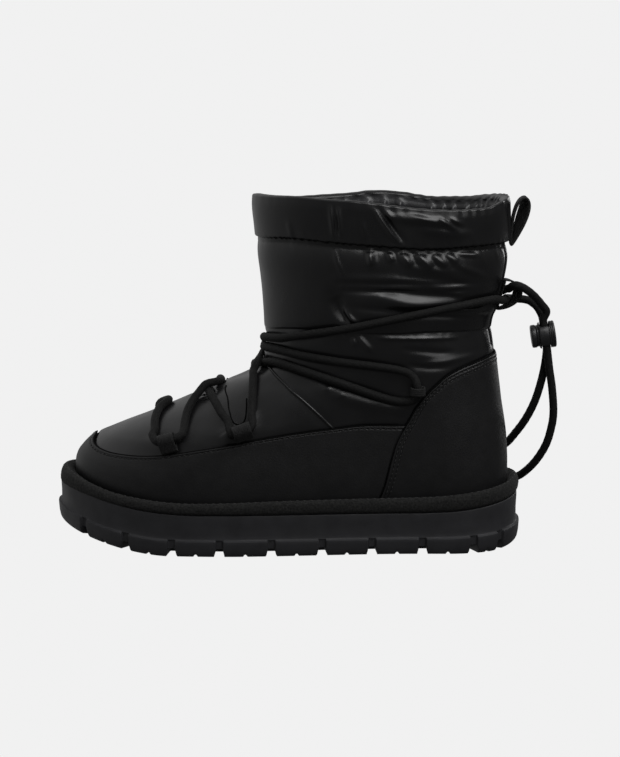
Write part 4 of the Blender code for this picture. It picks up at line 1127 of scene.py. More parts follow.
def bow_path(inset):
    """Middle of the back loop's strip: bowed out behind the shaft, then straight up along it."""
    points = []
    high = BACK_LOOP_HALF_Z - inset
    for a in np.linspace(-math.pi / 2, math.pi / 2, BOW_BEND):
        z = BACK_LOOP_Z + high * math.sin(a)
        points.append((back_at(z) + WEBBING_GAP + inset + (BACK_LOOP_DEEP - 2 * inset) * math.cos(a), z))
    for s in np.linspace(1, -1, BOW_FLAT)[1:-1]:
        z = BACK_LOOP_Z + high * s
        points.append((back_at(z) + WEBBING_GAP + inset, z))
    return points


def teardrop(wide):
    foot = np.array(PULL_FOOT)
    rise = np.array(PULL_TOP) - foot
    cross = np.array((rise[1], -rise[0])) / np.linalg.norm(rise)
    inset = PULL_THICK / 2 / np.linalg.norm(rise)
    points = []
    for a in np.linspace(0, math.tau, DROP_STEPS, endpoint=False):
        share = (1 - math.cos(a)) / 2
        swell = wide * math.sin(a) * (PULL_SWELL[0] + PULL_SWELL[1] * share)
        points.append(tuple(foot + rise * (inset + share * (1 - 2 * inset)) + cross * swell))
    return points


bow = ribbon("back_loop_strip", bow_path(WEBBING / 2), UPRIGHT, BACK_LOOP_HALF, WEBBING, closed=True)
for v in bow.vertices:
    v.co.x -= BACK_LOOP_YAW * v.co.y * (v.co.x - back_at(v.co.z)) / BACK_LOOP_DEEP
piece("back_loop_strip", bow, "webbing", "webbing", "back_lace_loop")
drop_path = teardrop(PULL_WIDE - PULL_THICK / 2)
drop = ribbon("pull_loop_strip", drop_path, UPRIGHT, PULL_HALF, PULL_THICK, closed=True)
foot = np.array((PULL_FOOT[0], 0.0, PULL_FOOT[1]))
rise = np.array((PULL_TOP[0], 0.0, PULL_TOP[1])) - foot
cross = np.array((rise[2], 0.0, -rise[0])) / np.linalg.norm(rise)
for v in drop.vertices:
    off = np.array(v.co) - foot
    share = off @ rise / (rise @ rise)
    swell = 2 * math.sqrt(max(share * (1 - share), 0)) * (PULL_SWELL[0] + PULL_SWELL[1] * share)
    left = -PULL_WIDE * swell
    keep = 1 - (1 - PULL_FAR) * (off[1] + PULL_HALF) / (2 * PULL_HALF)
    aside = left + (off @ cross - left) * keep
    v.co = foot + rise * share * PULL_LOW + cross * aside + np.array((PULL_LEAN * share, off[1], 0.0))
piece("pull_loop_strip", drop, "webbing", "webbing", "pull_loop")


# Upper: relief of the nylon over the last's own skin
def seam_distance(line, turn, z, speed_turn, speed_z):
    """Signed distance above a seam line, along the skin."""
    a = half_turn(turn)
    return (z - follow(line, a)) / np.sqrt(1 / speed_z ** 2 + (slope_at(line, a) / speed_turn) ** 2)


def seam_span(line, turn):
    """One where the seam runs, fading out at the turn where it ends."""
    end = line[-1, 0]
    if end >= 0.5:
        return np.ones_like(turn)
    return 1 - smooth((half_turn(turn) - end) / SEAM_END_FADE + 1)


def line_distance(points, line):
    """Distance from each point to a line through places, and the share along it."""
    best = np.full(len(points), np.inf)
    share = np.zeros(len(points))
    far = distances(line)
    far = far / far[-1]
    for i, (a, b) in enumerate(zip(line, line[1:])):
        t = np.clip((points - a) @ (b - a) / ((b - a) @ (b - a)), 0, 1)
        d = np.linalg.norm(points - a - t[:, None] * (b - a), axis=1)
        nearer = d < best
        best[nearer] = d[nearer]
        share[nearer] = (far[i] + t * (far[i + 1] - far[i]))[nearer]
    return best, share


def skin_line(spots, side):
    x = np.array([s[0] for s in spots])
    z = np.array([s[1] for s in spots])
    return skin(turn_of(x, z) * -side, z)


def add_crease(relief, points, spots, side, half, high):
    line = skin_line(spots, side)
    low = line.min(0) - CREASE_REACH * half
    top = line.max(0) + CREASE_REACH * half
    near = np.all((points > low) & (points < top), axis=1)
    d, share = line_distance(points[near], line)
    ends = np.sqrt(np.clip(np.sin(np.pi * np.clip(share, CREASE_END, 1 - CREASE_END)), 0, 1))
    relief[near] += high * ends * np.exp(-(d / half) ** 2)


def add_puckers(relief, turn, distance, speed_turn, span, count, reach):
    """Short gathers across a seam, thinner and lower away from it."""
    turn = np.mod(turn, 1.0)
    for at in (np.arange(count) + rng.uniform(-PUCKER_JITTER, PUCKER_JITTER, count)) / count:
        half = rng.uniform(*PUCKER_HALF)
        calm = CALM[int(CALM_TURNS[0] < at < CALM_TURNS[1])]
        high = rng.uniform(*PUCKER_HIGH) * rng.choice(PUCKER_SIGNS) * calm
        slant = rng.uniform(*PUCKER_SLANT)
        below = reach * rng.uniform(*PUCKER_BELOW)
        above = reach * rng.uniform(*PUCKER_ABOVE)
        gap = (np.mod(turn - at + 0.5, 1.0) - 0.5) * speed_turn
        gap = gap + np.where(half_turn(turn) == turn, 1, -1) * slant * distance
        fall = np.exp(-(distance / np.where(distance < 0, below, above)) ** 2)
        start = 1 - np.exp(-(distance / PUCKER_START) ** 2)
        relief += high * span * fall * start * np.exp(-(gap / half) ** 2)


def teeth(turn, speed_turn, size):
    """Uneven zigzag of a seam's line."""
    s = turn * np.mean(speed_turn) / TOOTH
    s = s + ripple(s, TOOTH_WAVES)
    zigzag = np.abs(np.mod(s, 1.0) - TOOTH_PEAK) * 2 - 2 * TOOTH_PEAK
    return size * zigzag * smooth((half_turn(turn) - TOOTH_FROM) / TOOTH_FROM)


def panel_top(turn):
    """Height of the overlays' top edge all round."""
    a = half_turn(turn)
    return np.where(a < COUNTER_FRONT[-1, 1], follow(MUDGUARD_EDGE, a), follow(COUNTER_EDGE, a))


def counter_front(z):
    """Turn of the counter's front edge by height."""
    return follow(COUNTER_FRONT, z)


def nearest(places, points):
    """Nearest of the places to each point of a grid."""
    tree = kdtree.KDTree(len(places))
    for i, place in enumerate(places):
        tree.insert(place, i)
    tree.balance()
    found = [tree.find(p)[1] for p in points.reshape(-1, 3)]
    return places[found].reshape(points.shape)


def nylon_relief(turn, z, base):
    """How far the nylon stands off the skin at each point, and each point's height over the overlays."""
    aside = half_turn(turn)
    speed_turn = np.maximum(pace_at(turn, z), SLOWEST)
    low = np.clip(z - STEP_Z, FEATHER_Z, COLLAR_Z)
    high = np.clip(z + STEP_Z, FEATHER_Z, COLLAR_Z)
    speed_z = np.linalg.norm(skin_at(turn, high) - skin_at(turn, low), axis=-1) / (high - low)
    free = (z - panel_top(turn)) * speed_z
    dip = PANEL_PUFF * np.exp(-(free / PUFF_OVER) ** 2)
    press = np.zeros_like(z)
    gather = np.zeros_like(z)
    full = SEAM_FRONT + (1 - SEAM_FRONT) * smooth(aside / SEAM_FRONT_TURN - 1)
    for seam in rows_of(SEAM_COLUMNS, SEAMS):
        d = seam_distance(seam["line"], turn, z, speed_turn, speed_z)
        span = seam_span(seam["line"], turn) * full
        fall = np.exp(-(d / np.where(d > 0, seam["above"], PUFF_OVER)) ** 2)
        dip = np.maximum(dip, seam["puff"] * span * fall)
        add_puckers(gather, turn, d, speed_turn, span, seam["puckers"], seam["reach"])
        d = d + teeth(turn, speed_turn, seam["teeth"]) * np.exp(-(d / TOOTH_OVER) ** 2)
        under = np.exp(np.minimum(d + seam["flat"], 0) / SEAM_EASE)
        press -= seam["deep"] * span * np.where(d > 0, np.exp(-(d / seam["half"]) ** 2), under)
    (start, rise), (end, fall) = BACK_SEAM_SPAN
    stay = smooth((z - start) / rise) * (1 - smooth((z - end) / fall))
    press += stay * mounds((aside - BACK_SEAM_TURN) * speed_turn, BACK_SEAM_ROWS)
    vamp = smooth((VAMP_TO - z) / VAMP_FADE) * (1 - smooth((aside - VAMP_TURN) / VAMP_TURN))
    front = np.exp(-((z - ANKLE_FRONT_Z) / ANKLE_FRONT_HALF) ** 2) * (1 - smooth(aside / ANKLE_FRONT_TURN))
    toe = np.exp(-(free / TOE_EDGE_OVER) ** 2) * (1 - smooth(aside / TOE_EDGE_TURN))
    relief = press + gather - PUFF * dip - VAMP_DOWN * vamp - ANKLE_FRONT_IN * front + TOE_EDGE_UP * toe
    relief = relief.ravel()
    points = base.reshape(-1, 3)
    for table, side in ((CREASES, -1), (MEDIAL_CREASES, 1)):
        for spots, half, height in table:
            add_crease(relief, points, spots, side, half, height)
    return relief.reshape(z.shape), free


def settle(relief, free, points, normals):
    """Keeps the nylon under the overlays, pressed in by the lace, and under the loops' tabs."""
    over = smooth((free + PANEL_LAP) / PANEL_EASE)
    relief = relief * over + np.minimum(relief, UNDER_PANEL) * (1 - over)
    off = nearest(lace_path[::2], points) - points
    high = np.sum(off * normals, axis=-1)
    aside = np.sqrt(np.maximum(np.sum(off * off, axis=-1) - high ** 2, 0))
    bed = np.minimum(high - LACE_R + BED_SINK, BED_TOP)
    relief = relief + np.minimum(bed - relief, BED_LIFT) * np.exp(-(aside / BED_WIDE) ** 2) * over
    feet = np.array([loop_frame(row, side) @ Vector((along, 0, across * row["half"]))
                     for row in loop_rows.values() for _, side in SIDES
                     for along in np.linspace(-row["ahead"] - TAB_AHEAD, row["tab"], TAB_GRID[0])
                     for across in np.linspace(-1, 1, TAB_GRID[1])])
    d = np.linalg.norm(nearest(feet, points) - points, axis=-1)
    return np.minimum(relief, TAB_SEAT + TAB_PUFF * (d / TAB_EASE) ** 2)


ROUND = 452
SHELL_LOW_Z = 0.0500
SHELL_ROWS = (95, 70, 38)
ROW_CROWD = 0.5
RIM_ROWS = 12
LINING_PLEATS = 44
LINING_PLEAT = 0.0042
LINING_PLEAT_FROM = 0.0090
LINING_PLEAT_TO = 0.016
LINING_PLEAT_HALF = 0.13
LINING_WAVES = ((0.4, 0.7, 0.0), (0.25, 1.9, 1.0))
LINING_UNDER = 0.0012
LINING_FINE = (0.180, 34)
LINING_COARSE = (0.178, 0.028, 40)


def crowded(count):
    """Shares from 0 to 1, closer together at both ends."""
    u = np.arange(count) / count
    return u - ROW_CROWD * np.sin(math.tau * u) / math.tau


def by_side(table, turn, x):
    """Value of a rim table, which runs into itself across the middle at front and back."""
    value = {side: through(table[:, 0], table[:, RIM_COLUMNS.index(side)], x) for side, _ in SIDES}
    over = smooth(0.5 + np.sin(math.tau * turn) * SIDE_BLEND)
    return value["medial"] + (value["lateral"] - value["medial"]) * over


def gathers(turn, x):
    """Uneven pleats of the elastic rim, from -1 to 1."""
    s = np.mod(turn, 1.0) * math.tau
    pleat = np.sin(GATHER_COUNT * s + GATHER_SHIFT * ripple(s, GATHER_WANDER))
    swell = math.prod(np.sin(pace * s + start) for pace, start in GATHER_SWELL)
    strength = 1 - GATHER_UNEVEN + GATHER_UNEVEN * swell
    return np.sign(pleat) * np.abs(pleat) ** GATHER_POWER * strength * by_side(RIM_GATHER, turn, x)


def pleated(turn):
    """Narrow pleats of the lining under the elastic, from 0 to 1."""
    s = np.mod(turn, 1.0) * LINING_PLEATS
    s = s + ripple(s, LINING_WAVES)
    return np.exp(-((np.mod(s, 1.0) - 0.5) / LINING_PLEAT_HALF) ** 2)


def raised(points, turn, z):
    """Points of the collar moved up or down with the rim."""
    points = points.copy()
    share = smooth((z - RIM_RISE_FROM) / (RIM_Z - RIM_RISE_FROM))
    points[..., 2] += by_side(RIM_RISE, turn, points[..., 0]) * share
    return points


turn = np.arange(ROUND) / ROUND + 0.5 / ROUND
ankle = follow(ANKLE_SEAM, half_turn(turn))
collar = follow(COLLAR_SEAM, half_turn(turn))
marks = (np.full(ROUND, SHELL_LOW_Z), ankle, collar, np.full(ROUND, RIM_Z))
bands = [low + crowded(rows)[:, None] * (high - low)
         for low, high, rows in zip(marks, marks[1:], SHELL_ROWS)]
Z = np.vstack(bands + [marks[-1:]])
T = np.broadcast_to(turn, Z.shape)
base = skin_at(T, Z)
relief, free = nylon_relief(T, Z, base)
relief = settle(relief, free, base, normal_at(T, Z))
pleats = gathers(T, base[..., 0])
rim_fade = np.exp(-((RIM_Z - Z) / RIM_FADE) ** 2)
relief = relief * (1 - rim_fade) + rim_fade * GATHER_OUT * pleats
shell = raised(base + normal_at(T, Z) * relief[..., None], T, Z)
bend = np.linspace(0, math.pi, RIM_ROWS + 1)[1:]
B, RT = np.meshgrid(bend, turn, indexing="ij")
RZ = np.full_like(B, RIM_Z)
rim = skin_at(RT, RZ)
pleats = gathers(RT, rim[..., 0])
rim_out = -RIM_R * (1 - np.cos(B)) + pleats * GATHER_OUT * (1 + B / math.pi)
rim = rim + normal_at(RT, RZ) * rim_out[..., None]
rim[..., 2] += (RIM_HIGH + GATHER_UP * pleats) * np.sin(B)
rim = raised(rim, RT, RZ)
shell = np.vstack([shell, rim])
upper = piece("upper_nylon", from_grid("upper_nylon", shell, columns_close=True), "nylon", "nylon", "upper")


def relief_at(turns, heights):
    """Relief of the nylon at any place on it."""
    at = np.mod(turns, 1.0) * ROUND - 0.5
    first = np.floor(at).astype(int)
    found = []
    for c, share, z in zip(first, at - first, heights):
        a = np.interp(z, Z[:, c % ROUND], relief[:, c % ROUND])
        b = np.interp(z, Z[:, (c + 1) % ROUND], relief[:, (c + 1) % ROUND])
        found.append(a + (b - a) * share)
    return np.array(found)


def fold(name, turns, heights, radius):
    """Thin folded edge of nylon along a seam, half sunk into it."""
    return bead(name, skin(turns, heights, relief_at(turns, heights) + FOLD_OUT)[::3], radius)


for side_name, side in SIDES:
    seam_turns = np.linspace(*VAMP_FOLD_TURNS, FOLD_POINTS)
    name = "vamp_fold_" + side_name
    vamp_fold = fold(name, seam_turns * -side, follow(VAMP_SEAM, seam_turns), VAMP_FOLD_R)
    piece(name, vamp_fold, "nylon", "nylon")
    spots = np.array(GUSSET)
    places = np.column_stack([turn_of(spots[:, 0], spots[:, 1]), spots[:, 1], np.zeros(len(spots))])
    places = course(places, GUSSET_STRIDE)
    name = "gusset_fold_" + side_name
    # The gusset's fold takes the near-black edge finish: a painted shadow line along its crease
    piece(name, fold(name, places[:, 0] * -side, places[:, 1], GUSSET_FOLD_R), "raw_edge", "nylon")

# Lining, gathered below the rim and smooth down to the insole, in a lighter copy of the nylon whose extra
# brightness is painted light
LINING_Z = np.concatenate([np.linspace(RIM_Z, *LINING_FINE), np.linspace(*LINING_COARSE)])
LT, LZ = np.meshgrid(turn, LINING_Z)
deep = follow(INNER, LZ)
deep = np.where(LZ > INNER[-1, 0], np.interp(LZ, (INNER[-1, 0], RIM_Z), (INNER[-1, 1], 2 * RIM_R)), deep)
below = RIM_Z - LZ
pleats = LINING_PLEAT * pleated(LT) * smooth(below / LINING_PLEAT_FROM)
pleats = pleats * np.exp(-(below / LINING_PLEAT_TO) ** 2)
nylon_in = relief_at(LT.ravel(), LZ.ravel()).reshape(LT.shape) - LINING_UNDER
nylon_in = np.where(LZ > SHELL_LOW_Z, nylon_in, 0)
inside = raised(skin(LT, LZ, np.minimum(-deep, nylon_in) - pleats), LT, LZ)
inside[0] = rim[-1]
lining_mesh = from_grid("lining", inside, columns_close=True)
piece("lining", lining_mesh, "lining_nylon", "nylon")


# Leather overlays: mudguard and heel counter
EDGE_STEPS = (0.0, 0.0002, 0.0005, 0.0009, 0.0013, 0.0016, 0.0019, 0.0022, 0.0025, 0.0028, 0.0031, 0.0035,
              0.0042, 0.0052, 0.0066)
EDGE_ROLL = ((-0.0007, 0.0, 0.0004), (0.00010, 0.0010, 0.0007))
STITCH_IN = 0.0023
STITCH_TRENCH = 0.00045
TRENCH_HALF = 0.00045
PANEL_ROWS = 22
GUARD_POINTS = 520
COUNTER_FROM = float(COUNTER_FRONT[-1, 1])
COUNTER_PACE = 0.72
COUNTER_ROWS = (0.0022, 0.0045)
COUNTER_FINE = (0, 0.0066, 0.0003)
COUNTER_COARSE = (0.0070, 0.012, 0.0008)
COUNTER_REST = (0.0185, 90)
GUARD_TO = COUNTER_FROM - PANEL_PART


def edge_relief(inside, rows):
    """Height over the panel by distance in from its edge: a rolled edge, then trenches for the stitches."""
    return mounds(inside, EDGE_ROLL + tuple((-STITCH_TRENCH, at, TRENCH_HALF) for at in rows))


def guard_lean(turns, z):
    """Turn at a height in the mudguard, whose back edge follows the counter's front."""
    return turns * (counter_front(z) - PANEL_PART) / GUARD_TO


def counter_lean(turns, z):
    return 0.5 + (turns - 0.5) * (0.5 - counter_front(z)) / (0.5 - COUNTER_FROM)


def edge_of(turns, edge):
    """Height of a top edge, its slant along the skin, and distance on the skin for each step of height."""
    a = half_turn(turns)
    tops = follow(edge, a)
    speed = np.linalg.norm(skin_at(turns, tops) - skin_at(turns, tops - STEP_Z), axis=-1) / STEP_Z
    return tops, np.sqrt(1 + (slope_at(edge, a) * speed / pace_at(turns, tops)) ** 2), speed


def panel_mesh(name, turns, edge, lean, front=False, rows=(STITCH_IN,)):
    """Closed overlay on the skin, from its foot to its top edge, with or without a free front edge."""
    tops, slant, speed = edge_of(turns, edge)
    steps = np.array(EDGE_STEPS)
    near = tops[None] - steps[:, None] * slant[None] / speed[None]
    share = np.linspace(0, 1, PANEL_ROWS + 1)[1:, None]
    body = near[-1] + (PANEL_FOOT_Z - near[-1]) * share
    z = np.vstack([near, body])
    t = lean(turns[None], z)
    rest = steps[-1] + share * (near[-1] - PANEL_FOOT_Z)
    inside = np.vstack([np.broadcast_to(steps[:, None], near.shape), rest])
    if front:
        inside = np.minimum(inside, (half_turn(t) - counter_front(z)) * pace_at(t, z))
    outer = skin(t, z, PANEL_SEAT + PANEL_GAP + PANEL + edge_relief(inside, rows))
    under = skin(t[::4][::-1], z[::4][::-1], PANEL_SEAT + PANEL_GAP)
    ring = np.vstack([outer, under])
    return outward(from_grid(name, ring.transpose(1, 0, 2), columns_close=True, caps=True))


guard_turns = np.linspace(-GUARD_TO, GUARD_TO, GUARD_POINTS)
guard_mesh = panel_mesh("mudguard_leather", guard_turns, MUDGUARD_EDGE, guard_lean)
piece("mudguard_leather", guard_mesh, "leather", "leather", "mudguard")
front_steps = np.concatenate([np.arange(*COUNTER_FINE), np.arange(*COUNTER_COARSE)]) / COUNTER_PACE
rest_steps = np.linspace(COUNTER_FROM + COUNTER_REST[0], 0.5, COUNTER_REST[1])
half = np.concatenate([COUNTER_FROM + front_steps, rest_steps])
counter_turns = np.concatenate([half, 1 - half[:-1][::-1]])
counter_mesh = panel_mesh("counter_leather", counter_turns, COUNTER_EDGE, counter_lean, True, COUNTER_ROWS)
piece("counter_leather", counter_mesh, "leather", "leather", "heel_counter")


# Stitches, as short plump threads lying in their trenches
STITCH_RINGS = 7
STITCH_SIDES = 6
STITCH_BEND = 1.2
STITCH_TIP = 0.02
STITCH_SINK = 0.0001
ROW_END = 0.004
ROW_POINTS = 900
COUNTER_STITCH = {"pitch": 0.0028, "length": 0.0021}
COUNTER_ROW_POINTS = (120, 500)
COUNTER_ROW_FOOT = 0.036
# Radius of the near-black bead along the overlays' edges: a cut edge that also paints the crevice's shade
CUT_EDGE_SHADE_R = 0.00048
ON_PANEL = PANEL_SEAT + PANEL_GAP + PANEL - STITCH_SINK
IN_PANEL = PANEL_SEAT + PANEL_GAP + PANEL / 2


def stitches(name, path, normals, pitch=0.0032, length=0.0024, half=0.00032):
    far = distances(path)
    count = int(far[-1] / pitch)
    starts = (np.arange(count) + 0.5) * far[-1] / count
    rings = np.linspace(-1, 1, STITCH_RINGS)
    angle = np.arange(STITCH_SIDES) / STITCH_SIDES * math.tau
    all_points = []
    all_faces = []
    for at in starts:
        s = at + rings * length / 2
        line = np.stack([np.interp(s, far, path[:, i]) for i in range(3)], -1)
        n = np.array([np.interp(at, far, normals[:, i]) for i in range(3)])
        n = n / np.linalg.norm(n)
        way = line[-1] - line[0]
        side = np.cross(n, way / np.linalg.norm(way))
        plump = half * np.sqrt(np.clip(1 + STITCH_TIP - rings ** 2, STITCH_TIP, 1))
        sink = -half * STITCH_BEND * rings ** 4
        ring = np.cos(angle)[:, None] * side + np.sin(angle)[:, None] * n
        points = line[:, None] + ring[None] * plump[:, None, None] + (n * sink[:, None])[:, None]
        offset = len(all_points) * len(rings) * len(angle)
        index = np.arange(len(rings) * len(angle)).reshape(len(rings), len(angle)) + offset
        all_faces += quads(index, columns_close=True) + [index[0].tolist(), index[-1][::-1].tolist()]
        all_points.append(points)
    return outward(mesh_of(name, np.array(all_points), all_faces))


def along_skin(turns, heights, out):
    return skin(turns, heights, out), normal_at(turns, heights)


def below_edge(turns, edge, inside):
    tops, slant, speed = edge_of(turns, edge)
    return tops - inside * slant / speed


def cut_edge_with_painted_shade(name, path):
    """Near-black bead along an overlay's top edge: the leather's dull cut edge, and a painted shade line
    for the crevice beside it.
    """
    piece(name, bead(name, path[::4], CUT_EDGE_SHADE_R), "raw_edge", "leather")


fine_turns = np.linspace(-GUARD_TO + ROW_END, GUARD_TO - ROW_END, ROW_POINTS)
row_path = along_skin(fine_turns, below_edge(fine_turns, MUDGUARD_EDGE, STITCH_IN), ON_PANEL)
piece("mudguard_stitches", stitches("mudguard_stitches", *row_path), "thread", "leather")
cut_edge_with_painted_shade("mudguard_edge_painted_shade", skin(fine_turns, below_edge(fine_turns, MUDGUARD_EDGE, 0.0), IN_PANEL))


def counter_row(inside, out=ON_PANEL):
    """Path inside the counter's front and top edges."""
    start = COUNTER_FROM + inside / COUNTER_PACE
    corner = float(below_edge(np.array([start]), COUNTER_EDGE, inside)[0])
    rise = np.linspace(COUNTER_ROW_FOOT, corner, COUNTER_ROW_POINTS[0])
    ahead = counter_front(rise) + inside / COUNTER_PACE
    over = np.linspace(start, 1 - start, COUNTER_ROW_POINTS[1])
    t = np.concatenate([ahead, over, 1 - ahead[::-1]])
    z = np.concatenate([rise, below_edge(over, COUNTER_EDGE, inside), rise[::-1]])
    return along_skin(t, z, out)


for number, at in enumerate(COUNTER_ROWS):
    name = "counter_stitches_%d" % (number + 1)
    piece(name, stitches(name, *counter_row(at), **COUNTER_STITCH), "thread", "leather")
cut_edge_with_painted_shade("counter_edge_painted_shade", counter_row(0.0, IN_PANEL)[0])


# Welt: napped band with a stitched top
WELT_ROUND = 640
WELT_DENSE = 19
WELT_NAP = 0.00007
WELT_STITCH_OUT = 0.0058
WELT_STITCH_Z = 0.0351
WELT_ROW_POINTS = 1600
WELT_SOFTEN = 2
WELT_STITCH = {"pitch": 0.0042, "length": 0.0030, "half": 0.00042}


def toe_share(turns, power=FLARE_POWER):
    """One at the tip of the toe, nothing along the sides."""
    return np.clip(np.cos(math.tau * turns), 0, 1) ** power


def welt_z(x, z):
    """Height in the welt, which is thinner towards the toe."""
    return WELT_FOOT[0] + (z - WELT_FOOT[0]) * (1 - follow(WELT_THIN, x))


def welt_points(turns, out, z, share=1):
    """Points on the outside of the welt, which leans in and drops towards the toe."""
    plan = outline(turns, out - WELT_LEAN * share * toe_share(turns))
    drop = WELT_DROP * toe_share(turns, WELT_DROP_POWER)
    return np.column_stack([plan, welt_z(plan[:, 0], z) + lift(plan[:, 0]) - drop])


welt_turns = np.arange(WELT_ROUND) / WELT_ROUND
profile = []
for z in WELT_INNER_Z:
    thinned = welt_z(skin_at(welt_turns, z)[:, 0], z)
    profile.append(skin(welt_turns, thinned, WELT_IN))
dense = np.linspace(0, len(WELT_OUTER) - 1, WELT_DENSE)
for z, out in zip(np.interp(dense, range(len(WELT_OUTER)), [r[0] for r in WELT_OUTER]),
                  np.interp(dense, range(len(WELT_OUTER)), [r[1] for r in WELT_OUTER])):
    share = (z - WELT_FOOT[0]) / (WELT_OUTER[0][0] - WELT_FOOT[0])
    profile.append(welt_points(welt_turns, out, z, share))
plan = outline(welt_turns, np.full(WELT_ROUND, WELT_FOOT[1]))
profile.append(np.column_stack([plan, WELT_FOOT[0] + lift(plan[:, 0])]))
profile = np.array(profile)
for _ in range(WELT_SOFTEN):
    profile[4:-2] = 0.5 * profile[4:-2] + 0.25 * (profile[3:-3] + profile[5:-1])
nap = rng.normal(0, WELT_NAP, profile.shape)
nap[:2] = 0
nap[-3:] = 0
profile = profile + nap
welt_mesh = outward(from_grid("welt_band", profile, rows_close=True, columns_close=True))
piece("welt_band", welt_mesh, "band", "band", "welt")
welt_top = welt_points(np.linspace(0, 1, WELT_ROW_POINTS), WELT_STITCH_OUT, WELT_STITCH_Z)
upward = np.broadcast_to(np.array((0.0, 0.0, 1.0)), welt_top.shape)
piece("welt_stitches", stitches("welt_stitches", welt_top, upward, **WELT_STITCH), "thread", "band")


# Outsole: side with proud lugs, gaps between them and a treaded bottom
SOLE_ROUND = 1240
BOTTOM_OUT = (0.0040, 0.0010, -0.0030, -0.0060, LUG_GAP_END, LUG_GAP_END - 0.0006, -0.0120, -0.0160)
ACROSS = 24
TREAD_DEEP = 0.0022
TREAD_PITCH = 0.015
TREAD_SLANT = 0.55
TREAD_GROOVE = (0.30, 0.10)
TREAD_EDGE = 0.08
EDGE_POINTS = 8001
LEDGE_OVER = 0.03
PARTED = (0.0006, 0.0009)
NOTCH_SIDE = (0.09, 0.05)
NOTCH_UNDER = (0.014, 0.004)
SOLE_SHARP = math.radians(34)


def arc_turns(count):
    """Turns at even distances round the sole's edge, symmetric about the middle plane."""
    t = np.linspace(0, 1, EDGE_POINTS)
    edge = outline(t, np.full(EDGE_POINTS, SOLE_WALL))
    far = distances(edge)
    want = (np.arange(count) + 0.5) / count * far[-1]
    return np.interp(want, far, t), want, far, t


sole_turns, sole_far, edge_far, edge_turn = arc_turns(SOLE_ROUND)
lug_turns = [float(turn_of(x, FEATHER_Z)) for x in LUG_GAP_X]
gap_turns = sorted(lug_turns + list(LUG_CORNER_TURNS))
gap_turns = gap_turns + [1 - t for t in reversed(gap_turns)]
gap_far = np.interp(gap_turns, edge_turn, edge_far)
last_far = (gap_far[-1] + gap_far[0] + edge_far[-1]) / 2
lug_far = np.concatenate([(gap_far[1:] + gap_far[:-1]) / 2, [last_far]])


def from_nearest(places):
    d = np.abs(sole_far[:, None] - np.asarray(places)[None])
    return np.minimum(d, edge_far[-1] - d).min(1)


gap_off = from_nearest(gap_far)
open_gap = np.clip((LUG_GAP_FOOT / 2 - gap_off) / ((LUG_GAP_FOOT - LUG_GAP_TOP) / 2), 0, 1)
parted = smooth((LUG_GAP_TOP / 2 + PARTED[0] - gap_off) / PARTED[1])
notch = NOTCH_HIGH * np.exp(-(from_nearest(np.mod(lug_far, edge_far[-1])) / NOTCH_HALF) ** 4)
grid = []
for share, out in SOLE_SIDE:
    outs = np.full(SOLE_ROUND, out)
    if share < SOLE_LEDGE + LEDGE_OVER:
        outs = outs + (min(out, SOLE_WALL) - outs) * parted
    plan = outline(sole_turns, outs)
    z = sole_height(plan[:, 0], share)
    roof = sole_height(plan[:, 0], LUG_GAP_ROOF)
    z = np.maximum(z, z + open_gap * (roof - z))
    z = z + notch * smooth((NOTCH_SIDE[0] - share) / NOTCH_SIDE[1])
    grid.append(np.column_stack([plan, z]))
for out in BOTTOM_OUT:
    plan = outline(sole_turns, np.full(SOLE_ROUND, out))
    z = sole_bottom(plan[:, 0])
    roof = sole_height(plan[:, 0], LUG_GAP_ROOF)
    if out >= LUG_GAP_END:
        z = z + open_gap * (roof - z)
    z = z + notch * smooth((out + NOTCH_UNDER[0]) / NOTCH_UNDER[1])
    grid.append(np.column_stack([plan, z]))
grid = np.array(grid)
side_index = np.arange(grid.shape[0] * SOLE_ROUND).reshape(grid.shape[0], SOLE_ROUND)
faces = quads(side_index, columns_close=True)
half_round = SOLE_ROUND // 2
lateral = grid[-1][:half_round]
medial = grid[-1][half_round:][::-1]
share = np.linspace(0, 1, ACROSS + 2)[1:-1]
inner = lateral[None] + share[:, None, None] * (medial - lateral)[None]
chevron = inner[..., 0] + TREAD_SLANT * np.abs(inner[..., 1])
wave = np.abs(np.mod(chevron / TREAD_PITCH, 1.0) - 0.5) * 2
fade = smooth(np.minimum(share, 1 - share)[:, None] / TREAD_EDGE)
groove = smooth((TREAD_GROOVE[0] - wave) / TREAD_GROOVE[1])
inner[..., 2] = sole_bottom(inner[..., 0]) + TREAD_DEEP * groove * fade
inner_index = np.arange(ACROSS * half_round).reshape(ACROSS, half_round) + side_index.size
across = np.vstack([side_index[-1][:half_round], inner_index, side_index[-1][half_round:][::-1]])
faces += quads(across)
top_row = side_index[0]
faces += [[top_row[k], top_row[k + 1], top_row[SOLE_ROUND - 2 - k], top_row[SOLE_ROUND - 1 - k]]
          for k in range(half_round - 1)]
sole_points = np.vstack([grid.reshape(-1, 3), inner.reshape(-1, 3)])
sole_mesh = outward(mesh_of("outsole_rubber", sole_points, faces))
sole_mesh.set_sharp_from_angle(angle=SOLE_SHARP)
piece("outsole_rubber", sole_mesh, "rubber", "rubber", "outsole")

# Insole, the solid itself with a cloth finish
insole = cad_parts["insole"]
insole.data.materials.clear()
insole.data.materials.append(finishes["footbed"])

